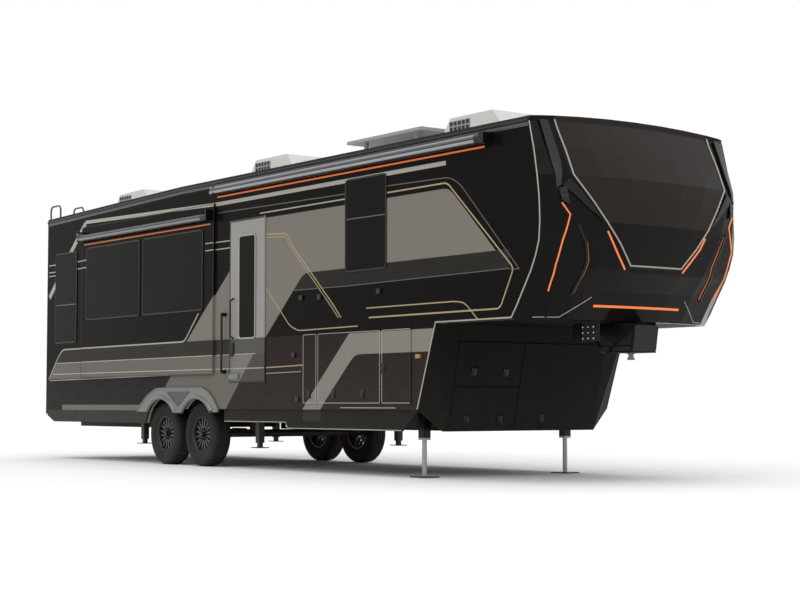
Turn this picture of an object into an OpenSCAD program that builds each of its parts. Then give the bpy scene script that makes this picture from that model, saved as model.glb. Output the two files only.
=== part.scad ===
// Fifth wheel trailer with slide-out rooms, in millimetres.
// +X points to the towing end, +Y to the road side, -Y to the kerb side with the
// entry door, +Z up. The origin is on the ground below the middle of the trailer.

/* [Body] */
// Length over all, from the ladder's tube to the nose of the front cap
total_len = 10840; // [10600:10:11200]
// Width over the side walls
body_w = 2570; // [2520:10:2620]
// Height of the side walls' top edge
eave_z = 3360; // [3320:5:3420]
// How much lower the eave is at the rear wall
rear_fall = 85; // [40:5:120]
// Distance from the rear wall to where the eave starts to fall
fall_start = 3800; // [3400:50:4200]
// Thickness of the side, rear and front walls
wall_t = 50; // [45:1:56]
// Thickness of the roof at its edge
roof_t = 50; // [40:1:60]
// Rise of the roof's crown over its edge
roof_crown = 50; // [30:5:70]
// Height of the lower edge of the rear side skirts
skirt_z = 505; // [480:5:530]
// Height of the lower edge of the side walls ahead of the wheels
sill_z = 686; // [672:2:700]
// Rise of the skirt's cut-off corner at the rear wall
tail_rise = 105; // [80:5:130]
// Length of the skirt's cut-off corner at the rear wall
tail_cut = 265; // [200:5:300]

/* [Floors] */
// Height of the main floor's upper face
floor_z = 990; // [985:1:996]
// Thickness of the main floor
floor_t = 60; // [50:1:70]
// Height of the storage floor's upper face
storage_z = 725; // [715:1:735]
// Height of the underside of the raised front deck
deck_z = 1535; // [1525:5:1560]
// Thickness of the raised front deck
deck_t = 65; // [55:1:75]
// Distance from the nose to the bulkhead behind the storage room
bulkhead_back = 4300; // [4260:10:4360]
// Thickness of the bulkhead
bulkhead_t = 40; // [30:1:50]

/* [Front cap] */
// Thickness of the moulded cap
cap_t = 50; // [45:1:56]
// Roundness of the cap in plan, where 2 is an ellipse
cap_power = 2.2; // [2:0.1:2.6]
// How far the cap's middle lies behind its nose at the roof
cap_top_back = 350; // [330:5:370]
// How far the cap's seam lies behind its nose at the roof
seam_top_back = 415; // [405:5:425]
// Relief of the cap's middle panel
shield_relief = 18; // [10:1:26]
// Half width of the cap's middle panel at the roof
shield_half_w = 1010; // [980:5:1040]

/* [Front wall] */
// Distance from the nose to the front wall at the raised deck
front_top_back = 1806; // [1780:2:1830]
// Distance from the nose to the front wall at its foot
front_foot_back = 2037; // [2010:3:2060]
// Distance from the nose to the side walls' front edge at the raised deck
side_top_back = 1840; // [1820:2:1860]
// Distance from the nose to the side walls' front edge at the sill
side_foot_back = 2134; // [2110:2:2150]
// Height of the front wall's foot
foot_z = 470; // [460:2:480]
// Half width of the flat middle of the front wall
front_half_w = 1000; // [980:5:1020]

/* [Running gear] */
// Distance from the nose to the front axle
axle_front_back = 6500; // [6470:5:6530]
// Spacing of the two axles
axle_pitch = 888; // [870:2:910]
// Outer diameter of the tyres
tyre_d = 764; // [750:2:776]
// Width of the tyres
tyre_w = 224; // [215:1:230]
// Distance between the outer faces of the left and right tyres
tyre_track = 2500; // [2490:2:2506]
// Diameter of the wheel rims
rim_d = 420; // [406:2:430]
// Radius of the wheel arches
arch_r = 430; // [424:1:440]
// Diameter of the axle tubes
axle_d = 76; // [70:1:82]
// Diameter of the wheel spindles
spindle_d = 56; // [50:1:60]
// Running clearance round a spindle, at the radius
spindle_gap = 0.5; // [0.3:0.1:0.8]

/* [Chassis] */
// Height of the main rails
rail_h = 250; // [240:2:260]
// Height of the lowered front rails
drop_rail_h = 190; // [180:2:196]
// Width of the rails
rail_w = 90; // [80:1:100]
// Distance from the middle of the trailer to each rail's middle
rail_y = 850; // [840:1:856]
// Thickness of the rails' webs and flanges
rail_t = 10; // [8:1:14]
// Distance from the nose to the kingpin
pin_back = 422; // [410:2:440]
// Diameter of the kingpin's neck
pin_neck_d = 50.8; // [50:0.1:52]
// Diameter of the kingpin's lower flange
pin_flange_d = 71.4; // [70:0.1:73]
// Height of the pin box's lower plate above the ground
pin_plate_z = 1245; // [1230:5:1260]

/* [Legs and jacks] */
// Distance from the nose to the landing legs
leg_back = 2440; // [2420:2:2460]
// Distance from the middle of the trailer to each landing leg
leg_y = 958; // [950:1:965]
// Size of the landing legs' square housings
leg_size = 90; // [80:1:96]
// Distance from each axle to the jacks next to it
jack_reach = 961; // [930:1:990]
// Height of the raised jack feet above the ground
jack_foot_z = 235; // [200:5:260]
// Size of the jacks' square housings
jack_size = 76; // [70:1:80]

/* [Slide-outs] */
// Distance from the rear wall to the kerb side slide-out
slide_s = 1125; // [1100:5:1150]
// Distance from the kerb side slide-out to the entry door
slide_door_gap = 340; // [320:5:360]
// How much longer the road side slide-out is
road_slide_more = 390; // [300:10:480]
// Height of the slide-outs' lower flange edge
slide_z0 = 1090; // [1075:5:1110]
// Height of the slide-outs' upper flange edge
slide_z1 = 3125; // [3080:5:3140]
// Overlap of a flange on the wall round its opening
slide_lap = 34; // [30:1:40]
// Thickness of a slide-out's flange
slide_flange_t = 25; // [20:1:30]
// Thickness of a slide-out's walls
slide_wall_t = 40; // [30:1:50]
// Running gap between a slide-out and its opening
slide_gap = 12; // [8:1:16]
// Travel of the slide-outs
slide_travel = 850; // [800:10:900]
// Length that stays inside the wall when a slide-out is out
slide_stay = 110; // [100:5:120]

/* [Entry door] */
// Distance from the nose to the entry door's rear edge
door_back = 5760; // [5740:5:5780]
// Width of the entry door
door_w = 780; // [760:5:800]
// Height of the entry door
door_h = 1890; // [1850:5:1920]
// Height of the entry door's lower edge
door_z = 992; // [985:1:1000]

/* [Hatches] */
// Distance from the nose to the front edge of the side hinged hatch
hatch_back = 2230; // [2220:2:2240]
// Width of the side hinged hatch
hatch_c_w = 505; // [495:5:520]
// Width of the wide storage hatch
hatch_b_w = 1160; // [1130:5:1180]
// Width of the narrow storage hatch
hatch_a_w = 270; // [255:5:280]
// Gap between neighbouring hatches
hatch_gap = 18; // [12:1:30]
// Height of the hatches' lower edge
hatch_z0 = 746; // [740:2:760]
// Height of the hatches' upper edge
hatch_z1 = 1510; // [1500:1:1515]
// Overlap of a hatch or door on the wall round its opening
lip = 18; // [16:1:22]
// Thickness of that overlap
lip_t = 5; // [4:0.5:6]
// Gap between a door's body and its opening
door_gap = 9; // [8:0.5:11]
// Thickness of a door's body inside the wall
door_core_t = 38; // [30:1:42]
// Radius of a door's hinge barrel
hinge_r = 7; // [6:0.5:8]
// Clearance between closed moving pieces and what they rest on
seat_gap = 0.3; // [0.2:0.1:0.5]

/* [Windows] */
// Distance from the rear wall to the rear side window
rear_win_s = 285; // [270:5:320]
// Width of the rear side window
rear_win_w = 650; // [620:5:680]
// Height of the rear side window's lower edge
rear_win_z0 = 1585; // [1560:5:1620]
// Height of the rear side window's upper edge
rear_win_z1 = 2815; // [2780:5:2850]
// Distance from the nose to the bedroom window's front edge
bed_win_back = 2650; // [2630:5:2680]
// Width of the bedroom window
bed_win_w = 730; // [700:5:760]
// Height of the bedroom window's lower edge
bed_win_z0 = 2140; // [2110:5:2170]
// Height of the bedroom window's upper edge
bed_win_z1 = 3110; // [3080:5:3140]
// Height of the slide-out windows' lower edge
slide_win_z0 = 1870; // [1840:5:1900]
// Height of the slide-out windows' upper edge
slide_win_z1 = 2830; // [2800:5:2840]
// Thickness of the glass
glass_t = 8; // [6:1:12]
// Overlap of the glass on the wall round its opening
glass_lap = 22; // [16:1:30]

/* [Outside fittings] */
// Length of the main awning's case
awning_len = 5110; // [5000:10:5200]
// Radius of the awning cases
awning_r = 52; // [46:1:56]
// How far the awning cases reach out from the side walls
awning_out = 120; // [112:1:130]
// Height of the main awning's middle
awning_z = 3262; // [3245:1:3270]
// Length of the air conditioners
ac_len = 980; // [900:10:1050]
// Width of the air conditioners
ac_w = 700; // [660:10:740]
// Height of the air conditioners
ac_h = 330; // [300:5:350]
// How far the ladder's tube reaches out behind the rear wall
ladder_out = 105; // [95:1:120]
// Diameter of the ladder's tubes
ladder_d = 25; // [22:1:28]
// Distance between the ladder's two stiles
ladder_w = 350; // [330:5:370]
// Spacing of the ladder's rungs
rung_pitch = 290; // [280:2:295]

/* [Hidden] */
$fn = 48;

// Places that follow from the sizes
half_w = body_w / 2;
nose_x = total_len / 2;
rear_x = ladder_out - total_len / 2;
inner_y = half_w - wall_t;
top_z = eave_z + roof_t;
fall_x = rear_x + fall_start;
axle_front_x = nose_x - axle_front_back;
axle_rear_x = axle_front_x - axle_pitch;
tyre_r = tyre_d / 2;
tyre_y = tyre_track / 2 - tyre_w / 2;
bulkhead_x = nose_x - bulkhead_back;
rail_top_z = floor_z - floor_t;
rail_bottom_z = rail_top_z - rail_h;
drop_top_z = storage_z - floor_t;
drop_bottom_z = drop_top_z - drop_rail_h;
front_run = front_foot_back - front_top_back;
front_rise = deck_z - foot_z;
front_tilt = atan(front_run / front_rise);
front_slope_len = sqrt(front_run * front_run + front_rise * front_rise);
pin_x = nose_x - pin_back;
leg_x = nose_x - leg_back;
slide_depth = slide_travel + slide_stay;
door_x = nose_x - door_back;
slide_x = rear_x + slide_s;
slide_len = door_x - slide_door_gap - slide_x;
road_slide_len = slide_len + road_slide_more;
hinge_out = hinge_r + seat_gap;
awning_x = slide_x + slide_len + 50;

// Front cap stations: share of the height from the deck to the eave,
// middle behind the nose, seam behind the nose
CAP_ROWS = [
    [0.000, 400, 680],
    [0.070, 325, 600],
    [0.145, 235, 510],
    [0.240, 90, 400],
    [0.262, 76, 380],
    [0.278, 66, 365],
    [0.386, 15, 285],
    [0.485, 0, 270],
    [0.605, 12, 278],
    [0.720, 36, 305],
    [0.858, 175, 350],
    [1.000, cap_top_back, seam_top_back]
];
cap_h = eave_z - deck_z;
function row_z(row) = deck_z + row[0] * cap_h;
SEAM = [for (row = CAP_ROWS) [nose_x - row[2], row_z(row)]];

// Roof line and side outline
function eave_at(x) = x > fall_x ? eave_z : eave_z - rear_fall * (fall_x - x) / fall_start;
arch_cut = arch_r + 8;
SIDE_OUTLINE = concat(
    [
        [rear_x + wall_t, eave_at(rear_x + wall_t)],
        [rear_x + wall_t, skirt_z + tail_rise * (1 - wall_t / tail_cut)],
        [rear_x + tail_cut, skirt_z],
        [axle_rear_x, skirt_z],
        [axle_rear_x, sill_z],
        [nose_x - side_foot_back, sill_z],
        [nose_x - side_top_back, deck_z]
    ],
    SEAM,
    [[fall_x, eave_z]]
);

// Draws a flat shape given in X and Z as a plate between two Y values
module plate_y(y0, y1) {
    translate([0, y1, 0])
        rotate([90, 0, 0])
            linear_extrude(y1 - y0)
                children();
}

// Draws a flat shape given in Y and Z as a bar between two X values
module bar_x(x0, x1) {
    translate([x0, 0, 0])
        rotate([90, 0, 90])
            linear_extrude(x1 - x0)
                children();
}

// A block given by its lowest and highest corners
module block(low, high) {
    translate(low)
        cube(high - low);
}

// A rectangle with round corners, given by its lowest and highest corners
module soft_rect(low, high, r) {
    w = high[0] - low[0];
    h = high[1] - low[1];
    translate([low[0] + r, low[1]])
        square([w - 2 * r, h]);
    translate([low[0], low[1] + r])
        square([w, h - 2 * r]);
    for (x = [low[0] + r, high[0] - r], y = [low[1] + r, high[1] - r])
        translate([x, y])
            circle(r);
}

// Puts its children on both sides of the trailer
module both_sides() {
    children();
    mirror([0, 1, 0])
        children();
}

// Side walls

module wheel_cut() {
    for (x = [axle_rear_x, axle_front_x])
        translate([x, tyre_r])
            circle(arch_cut);
    translate([axle_rear_x, 0])
        square([axle_pitch, sill_z]);
}

module lap_cut(s, w, z0, z1, lap, r) {
    soft_rect([s + lap, z0 + lap], [s + w - lap, z1 - lap], r);
}

hatch_c_x = nose_x - hatch_back - hatch_c_w;
hatch_b_x = hatch_c_x - hatch_gap - hatch_b_w;
hatch_a_x = hatch_b_x - hatch_gap - hatch_a_w;
rear_win_x = rear_x + rear_win_s;
bed_win_x = nose_x - bed_win_back - bed_win_w;
win_r = 45;

module hatch_cut(x, w, h, z) {
    translate([x + lip - door_gap, z + lip - door_gap])
        square([w - 2 * lip + 2 * door_gap, h - 2 * lip + 2 * door_gap]);
}

module side_outline() {
    difference() {
        polygon(SIDE_OUTLINE);
        wheel_cut();
        lap_cut(rear_win_x, rear_win_w, rear_win_z0, rear_win_z1, glass_lap, win_r);
        lap_cut(bed_win_x, bed_win_w, bed_win_z0, bed_win_z1, glass_lap, win_r);
    }
}

module slide_hole(len) {
    translate([slide_x + slide_lap, slide_z0 + slide_lap])
        square([len - 2 * slide_lap, slide_z1 - slide_z0 - 2 * slide_lap]);
}

hatch_h = hatch_z1 - hatch_z0;

module side_wall_curb() {
    color("#26282b")
        plate_y(-half_w, -inner_y)
            difference() {
                side_outline();
                slide_hole(slide_len);
                hatch_cut(door_x, door_w, door_h, door_z);
                hatch_cut(hatch_a_x, hatch_a_w, hatch_h, hatch_z0);
                hatch_cut(hatch_b_x, hatch_b_w, hatch_h, hatch_z0);
                hatch_cut(hatch_c_x, hatch_c_w, hatch_h, hatch_z0);
            }
}

module side_wall_road() {
    color("#26282b")
        plate_y(inner_y, half_w)
            difference() {
                side_outline();
                slide_hole(road_slide_len);
                hatch_cut(hatch_b_x, hatch_b_w, hatch_h, hatch_z0);
            }
}

// Rear wall with one wide window
rear_glass_w = 1500;
rear_glass_z0 = 1750;
rear_glass_z1 = 2500;

module rear_wall() {
    color("#26282b")
        bar_x(rear_x, rear_x + wall_t)
            difference() {
                translate([-half_w, skirt_z + tail_rise])
                    square([body_w, eave_at(rear_x) - skirt_z - tail_rise]);
                lap_cut(-rear_glass_w / 2, rear_glass_w, rear_glass_z0, rear_glass_z1, glass_lap, win_r);
            }
}

// Front wall below the raised deck, leaning forward, with its two corner panels

// Moves a piece drawn on a wall that faces -Y onto the leaning front wall:
// its X becomes +Y and its Z runs up the slope from the wall's foot
module on_front_wall() {
    translate([nose_x - front_foot_back, 0, foot_z])
        rotate([0, front_tilt, 0])
            rotate([0, 0, 90])
                children();
}

front_hatch_y0 = -front_half_w + 30;
front_hatch_split = -130;
front_hatch_gap = 16;
front_hatch_foot = 40;
front_hatch_mid = 455;
front_hatch_top = 915;
front_road_y1 = front_half_w - 30;
upper_w = front_hatch_split - front_hatch_y0;
road_w = front_road_y1 - front_hatch_split - front_hatch_gap;
lower_h = front_hatch_mid - front_hatch_foot;
upper_h = front_hatch_top - front_hatch_mid - front_hatch_gap;
road_h = front_hatch_top - front_hatch_foot;

module front_corner() {
    inner = -front_half_w - 1;
    hull() {
        for (p = [[nose_x - side_foot_back, sill_z], [nose_x - side_top_back, deck_z]])
            translate([p[0], -half_w, p[1] - 0.5])
                cube([1, wall_t, 0.5]);
        block([side_x(deck_z), inner, deck_z - 0.5], [front_x(deck_z), inner + 1, deck_z]);
        block([front_x(foot_z) - wall_t, inner, foot_z], [front_x(foot_z), inner + 1, foot_z + 0.5]);
    }
}
function front_x(z) = nose_x - front_foot_back + (z - foot_z) * front_run / front_rise;

module front_wall() {
    color("#1c1d1f") {
        difference() {
            plate_y(-front_half_w, front_half_w)
                polygon([
                    [front_x(foot_z), foot_z],
                    [front_x(deck_z), deck_z],
                    [front_x(deck_z) - wall_t, deck_z],
                    [front_x(foot_z) - wall_t, foot_z]
                ]);
            on_front_wall() {
                for (h = [
                    [front_hatch_y0, upper_w, front_hatch_foot, lower_h],
                    [front_hatch_y0, upper_w, front_hatch_mid + front_hatch_gap, upper_h],
                    [front_hatch_split + front_hatch_gap, road_w, front_hatch_foot, road_h]
                ])
                    translate([0, 2 * wall_t, 0])
                        rotate([90, 0, 0])
                            linear_extrude(3 * wall_t)
                                hatch_cut(h[0], h[1], h[3], h[2]);
            }
        }
        both_sides()
            front_corner();
    }
}

// Roof with a crown, falling towards the rear

crown_steps = 8;
thin = 0.1;
roof_seat = 0.01;
function crown_at(y) = roof_crown * (1 - y * y / (half_w * half_w));
CROWN = concat(
    [[-half_w, 0]],
    [for (i = [0 : crown_steps]) let (y = -half_w + body_w * i / crown_steps) [y, roof_t + crown_at(y)]],
    [[half_w, 0]]
);

// Half width of the raised middle panel at a share of the cap's height
shield_low = 0.27;
shield_step = 26;
SHIELD = [[0, 330], [shield_low, 330], [0.485, 668], [0.72, shield_half_w - 8], [1, shield_half_w]];
// Distance from the middle of the cap to the crease along its side
CREASE = [[0, 1030], [0.134, 1050], [0.51, 1130], [0.72, 1175], [1, 1225]];

// Plan of the cap at one station: the outer or inner line, from one seam to the other
function half_columns(share) =
    let (edge = lookup(share, SHIELD), crease = lookup(share, CREASE))
    [half_w, crease, (crease + edge + shield_step) / 2, edge + shield_step, edge, edge * 0.68, edge * 0.34];
function columns(share) =
    let (half = half_columns(share), n = len(half))
    concat([for (y = half) -y], [0], [for (i = [1 : n]) half[n - i]]);
cap_cols = len(columns(0)) - 1;
shield_cols = [4, cap_cols - 4];
function bulge(y) = pow(max(0, 1 - pow(abs(y) / half_w, cap_power)), 1 / cap_power);
function cap_y(i, row, inset) = columns(row[0])[i] * (half_w - inset) / half_w;
function cap_x(i, row, inset) =
    nose_x - row[2] + (row[2] - row[1] - inset) * bulge(columns(row[0])[i]);
function cap_line(row, inset) =
    [for (i = [0 : cap_cols]) [cap_x(i, row, inset), cap_y(i, row, inset)]];
cap_foot = CAP_ROWS[0];
cap_top = CAP_ROWS[len(CAP_ROWS) - 1];
fit_gap = 0.5;

module roof() {
    color("#d8d8d4") {
        intersection() {
            bar_x(fall_x, nose_x)
                translate([0, eave_z])
                    polygon(CROWN);
            union() {
                block([fall_x, -half_w, eave_z], [nose_x - seam_top_back, half_w, top_z + roof_crown]);
                translate([0, 0, eave_z])
                    linear_extrude(roof_t + roof_crown)
                        polygon(cap_line(cap_top, cap_t + fit_gap));
            }
        }
        hull() {
            bar_x(fall_x - thin, fall_x)
                translate([0, eave_z])
                    polygon(CROWN);
            bar_x(rear_x, rear_x + thin)
                translate([0, eave_at(rear_x + thin) + roof_seat])
                    polygon(CROWN);
        }
    }
}

// Moulded front cap: a shell between an outer and an inner net of points

// How far a point of the outer net lies behind the raised middle panel's surface
function relief(i, row) =
    row[0] < 0.1 || row[0] >= 1 || (row[0] > shield_low && i >= shield_cols[0] && i <= shield_cols[1]) ? 0 : shield_relief;
top_share = 1 + roof_t / cap_h;
CAP_LEVELS = concat(CAP_ROWS, [[top_share, cap_top_back, seam_top_back]]);
cap_last = len(CAP_LEVELS) - 1;
function cap_point(i, row, inset) =
    let (y = cap_y(i, row, inset), lift = max(0, (row[0] - 0.858) / (top_share - 0.858)))
    [
        cap_x(i, row, inset) - (inset == 0 ? relief(i, row) * bulge(y) : 0),
        y,
        row_z(row) + lift * crown_at(y)
    ];
CAP_POINTS = concat(
    [for (row = CAP_LEVELS, i = [0 : cap_cols]) cap_point(i, row, 0)],
    [for (row = CAP_LEVELS, i = [0 : cap_cols]) cap_point(i, row, cap_t)]
);
cap_wide = cap_cols + 1;
cap_half = cap_wide * (cap_last + 1);
function quad(a, b, c, d) = [[a, b, c], [a, c, d]];
CAP_FACES = [
    for (j = [0 : cap_last - 1], i = [0 : cap_cols - 1])
        let (a = j * cap_wide + i, b = a + 1, c = b + cap_wide, d = a + cap_wide)
        each concat(quad(a, d, c, b), quad(a + cap_half, b + cap_half, c + cap_half, d + cap_half)),
    for (j = [0 : cap_last - 1])
        let (a = j * cap_wide, d = a + cap_wide, b = a + cap_cols, c = d + cap_cols)
        each concat(quad(a, a + cap_half, d + cap_half, d), quad(b, c, c + cap_half, b + cap_half)),
    for (i = [0 : cap_cols - 1])
        let (e = cap_last * cap_wide + i)
        each concat(
            quad(i, i + 1, i + 1 + cap_half, i + cap_half),
            quad(e, e + cap_half, e + 1 + cap_half, e + 1)
        )
];

module front_cap() {
    color("#3a3634")
        polyhedron(CAP_POINTS, CAP_FACES);
}

// Floors and bulkhead

module main_floor() {
    color("#6d675e")
        block([rear_x + wall_t, -inner_y, rail_top_z], [bulkhead_x, inner_y, floor_z]);
}

module storage_floor() {
    back = bulkhead_x + bulkhead_t;
    color("#6d675e") {
        block([back, -inner_y, drop_top_z], [side_x(sill_z), inner_y, storage_z]);
        plate_y(-front_half_w + 20, front_half_w - 20)
            polygon([
                [back, drop_top_z],
                [back, storage_z],
                [front_x(storage_z) - wall_t, storage_z],
                [front_x(drop_top_z) - wall_t, drop_top_z]
            ]);
    }
}
function side_x(z) =
    nose_x - side_foot_back + (z - sill_z) * (side_foot_back - side_top_back) / (deck_z - sill_z);

module bulkhead() {
    color("#b9b2a4")
        block([bulkhead_x, -inner_y, drop_top_z], [bulkhead_x + bulkhead_t, inner_y, deck_z]);
}

module front_deck() {
    color("#1c1d1f")
        translate([0, 0, deck_z])
            linear_extrude(deck_t) {
                translate([bulkhead_x, -inner_y])
                    square([nose_x - cap_foot[2] - bulkhead_x, 2 * inner_y]);
                polygon(cap_line(cap_foot, cap_t + fit_gap));
            }
}

// Chassis

module rail(x0, x1, z0, z1) {
    bar_x(x0, x1) {
        for (z = [z0, z1 - rail_t])
            translate([rail_y - rail_w / 2, z])
                square([rail_w, rail_t]);
        translate([rail_y - rail_t / 2, z0])
            square([rail_t, z1 - z0]);
    }
}

module cross_tube(x, z0, z1) {
    block([x - 30, -rail_y, z0], [x + 30, rail_y, z1]);
}

// Cross tubes behind the axles, from the first to the last, and ahead of the axles
cross_first_s = 120;
cross_rear_reach = 647;
cross_front_reach = 615;
cross_x0 = rear_x + cross_first_s;
cross_x1 = axle_rear_x - cross_rear_reach;
cross_x2 = axle_front_x + cross_front_reach;
MAIN_CROSS = concat(
    [for (share = [0, 0.34, 0.69, 1]) cross_x0 + share * (cross_x1 - cross_x0)],
    [for (share = [0, 0.536]) cross_x2 + share * (bulkhead_x - cross_x2)]
);
drop_cross_back = [4150, 3500, 2900, 2350];
cross_h = 90;

module chassis_frame() {
    color("#222222") {
        both_sides() {
            rail(rear_x + wall_t, bulkhead_x, rail_bottom_z, rail_top_z);
            rail(bulkhead_x, nose_x - front_foot_back - wall_t - 20, drop_bottom_z, drop_top_z);
            block(
                [bulkhead_x - 80, rail_y - rail_w / 2, drop_bottom_z],
                [bulkhead_x, rail_y + rail_w / 2, rail_bottom_z]
            );
        }
        for (x = MAIN_CROSS)
            cross_tube(x, rail_top_z - cross_h, rail_top_z);
        for (back = drop_cross_back)
            cross_tube(nose_x - back, drop_top_z - cross_h, drop_top_z);
    }
}

tray_z = 440;
tray_t = 12;
// Seam between the tray's bottom and its folded walls
tray_seam = 0.2;
tray_foot_z = tray_z + tray_t + tray_seam;
tray_half_w = rail_y - 15;
tray_x0 = rear_x + 180;
tray_x1 = cross_x1 - 60;
side_skirt_t = 20;
side_skirt_in = 20;
side_skirt_x0 = axle_front_x + 590;
side_skirt_step = nose_x - 4540;
side_skirt_mid_z = 538;
side_skirt_z = 472;
side_skirt_slant = 280;

// Tray below the rear frame, and the black skirts below the side walls ahead of the wheels
module underbelly_tray() {
    color("#141414") {
        block([tray_x0, -tray_half_w, tray_z], [tray_x1, tray_half_w, tray_z + tray_t]);
        for (x = [tray_x0, tray_x1 - tray_t])
            block([x, -tray_half_w, tray_foot_z], [x + tray_t, tray_half_w, rail_bottom_z]);
        both_sides()
            block(
                [tray_x0 + tray_t + tray_seam, -tray_half_w, tray_foot_z],
                [tray_x1 - tray_t - tray_seam, -tray_half_w + tray_t, rail_bottom_z]
            );
        both_sides()
            plate_y(-half_w + side_skirt_in, -half_w + side_skirt_in + side_skirt_t)
                polygon([
                    [side_skirt_x0, sill_z],
                    [side_skirt_x0, side_skirt_mid_z],
                    [side_skirt_step - 40, side_skirt_mid_z],
                    [side_skirt_step, side_skirt_z],
                    [side_x(sill_z) - side_skirt_slant, side_skirt_z],
                    [side_x(sill_z), sill_z]
                ]);
    }
}

// Running gear

module axle(x) {
    color("#2b2b2b")
        translate([x, 0, tyre_r]) {
            rotate([90, 0, 0])
                cylinder(h = 2 * (tyre_y - tyre_w / 2 - 20), d = axle_d, center = true);
            rotate([90, 0, 0])
                cylinder(h = 2 * (tyre_y + 10), d = spindle_d, center = true);
        }
}

module axle_front() { axle(axle_front_x); }
module axle_rear() { axle(axle_rear_x); }

spring_y = 700;
spring_w = 45;
spring_z = tyre_r + axle_d / 2;
spring_half = 330;

module leaf_spring(x) {
    plate_y(spring_y - spring_w / 2, spring_y + spring_w / 2)
        for (leaf = [[spring_half, 0], [230, 1], [140, 2]])
            translate([x - leaf[0], spring_z + leaf[1] * 12])
                square([2 * leaf[0], 12]);
}

module hanger(x) {
    block(
        [x - 22, spring_y - 28, spring_z + 12],
        [x + 22, spring_y + 28, rail_bottom_z]
    );
}

module suspension() {
    color("#333333")
        both_sides() {
            leaf_spring(axle_front_x);
            leaf_spring(axle_rear_x);
            for (x = [axle_rear_x - spring_half + 22, (axle_rear_x + axle_front_x) / 2, axle_front_x + spring_half - 22])
                hanger(x);
            block(
                [axle_rear_x + spring_half - 40, spring_y - 28, spring_z + 12],
                [axle_front_x - spring_half + 40, spring_y + 28, spring_z + 60]
            );
            block(
                [axle_rear_x - spring_half, spring_y - 28, rail_bottom_z - 12],
                [axle_front_x + spring_half, rail_y + rail_w / 2, rail_bottom_z]
            );
        }
}

// Tyre section in its own frame: the axle is the Z axis, the outer face is up
module tyre_shape() {
    half = tyre_w / 2;
    r = tyre_r;
    bead = rim_d / 2;
    rotate_extrude($fn = 72)
        polygon([
            [bead, -half + 22],
            [bead + 18, -half + 8],
            [bead + 60, -half],
            [r - 60, -half],
            [r - 26, -half + 10],
            [r - 8, -half + 28],
            [r, -half + 60],
            [r, half - 60],
            [r - 8, half - 28],
            [r - 26, half - 10],
            [r - 60, half],
            [bead + 60, half],
            [bead + 18, half - 8],
            [bead, half - 22]
        ]);
}

spoke_count = 8;
bore_r = spindle_d / 2 + spindle_gap;
disc_r = 84;

module rim_shape() {
    half = tyre_w / 2 - 22;
    bead = rim_d / 2;
    rotate_extrude($fn = 72)
        polygon([
            [bead - 14, -half],
            [bead, -half],
            [bead, half],
            [bead - 12, half],
            [bead - 24, half - 22],
            [bead - 24, -half + 20]
        ]);
    rotate_extrude($fn = 72)
        polygon([
            [bore_r, half - 110],
            [60, half - 110],
            [60, half - 62],
            [disc_r, half - 62],
            [disc_r, half - 24],
            [34, half - 24],
            [34, half - 12],
            [0, half - 12],
            [0, half - 59],
            [bore_r, half - 59]
        ]);
    for (i = [0 : spoke_count - 1])
        rotate([0, 0, i * 360 / spoke_count])
            translate([disc_r - 14, 0, half - 54])
                linear_extrude(26)
                    for (side = [-1, 1])
                        polygon([
                            [0, side * 8],
                            [0, side * 22],
                            [bead - disc_r - 4, side * 46],
                            [bead - disc_r - 4, side * 24]
                        ]);
}

// Puts a wheel's piece at one axle; the kerb side is side -1
module at_wheel(x, side) {
    translate([x, side * tyre_y, tyre_r])
        rotate([side * -90, 0, 0])
            children();
}

module tyre_curb_front() { color("#1a1a1a") at_wheel(axle_front_x, -1) tyre_shape(); }
module tyre_curb_rear() { color("#1a1a1a") at_wheel(axle_rear_x, -1) tyre_shape(); }
module tyre_road_front() { color("#1a1a1a") at_wheel(axle_front_x, 1) tyre_shape(); }
module tyre_road_rear() { color("#1a1a1a") at_wheel(axle_rear_x, 1) tyre_shape(); }
module rim_curb_front() { color("#8d9094") at_wheel(axle_front_x, -1) rim_shape(); }
module rim_curb_rear() { color("#8d9094") at_wheel(axle_rear_x, -1) rim_shape(); }
module rim_road_front() { color("#8d9094") at_wheel(axle_front_x, 1) rim_shape(); }
module rim_road_rear() { color("#8d9094") at_wheel(axle_rear_x, 1) rim_shape(); }

// Double arch fender on the side wall
fender_t = 22;
fender_top = 944;
fender_foot = 648;
// Outline of the fender: distance behind the rear axle or ahead of the front axle, and height
FENDER_REAR = [[600, fender_foot], [560, fender_foot + 60], [330, fender_top - 90], [120, fender_top - 14], [0, fender_top]];
FENDER_FRONT = [[130, fender_top], [270, fender_top - 50], [400, fender_top - 150], [510, fender_foot + 20], [500, fender_foot]];

module fender() {
    plate_y(-half_w - fender_t, -half_w)
        difference() {
            polygon(concat(
                [for (p = FENDER_REAR) [axle_rear_x - p[0], p[1]]],
                [for (p = FENDER_FRONT) [axle_front_x + p[0], p[1]]]
            ));
            for (x = [axle_rear_x, axle_front_x])
                translate([x, tyre_r])
                    circle(arch_r);
        }
}

module fender_curb() { color("#8f8f8d") fender(); }
module fender_road() { color("#8f8f8d") mirror([0, 1, 0]) fender(); }

// Landing legs and levelling jacks

leg_rod_d = 50;
leg_sleeve_z = 380;
pad_t = 12;
pad_half = 120;
jack_rod = 50;
jack_pad_half = 92;
jack_y = leg_y + 42;

module landing_legs() {
    color("#1b1b1b")
        both_sides()
            translate([leg_x, -leg_y, 0]) {
                block([-leg_size / 2, -leg_size / 2, leg_sleeve_z], [leg_size / 2, leg_size / 2, drop_top_z]);
                cylinder(h = leg_sleeve_z, d = leg_rod_d);
                block([-pad_half, -pad_half + 20, 0], [pad_half, pad_half - 20, pad_t]);
                block([-leg_size / 2, leg_size / 2, drop_top_z - 140], [leg_size / 2, leg_y - rail_y - rail_w / 2, drop_top_z]);
            }
}

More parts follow.
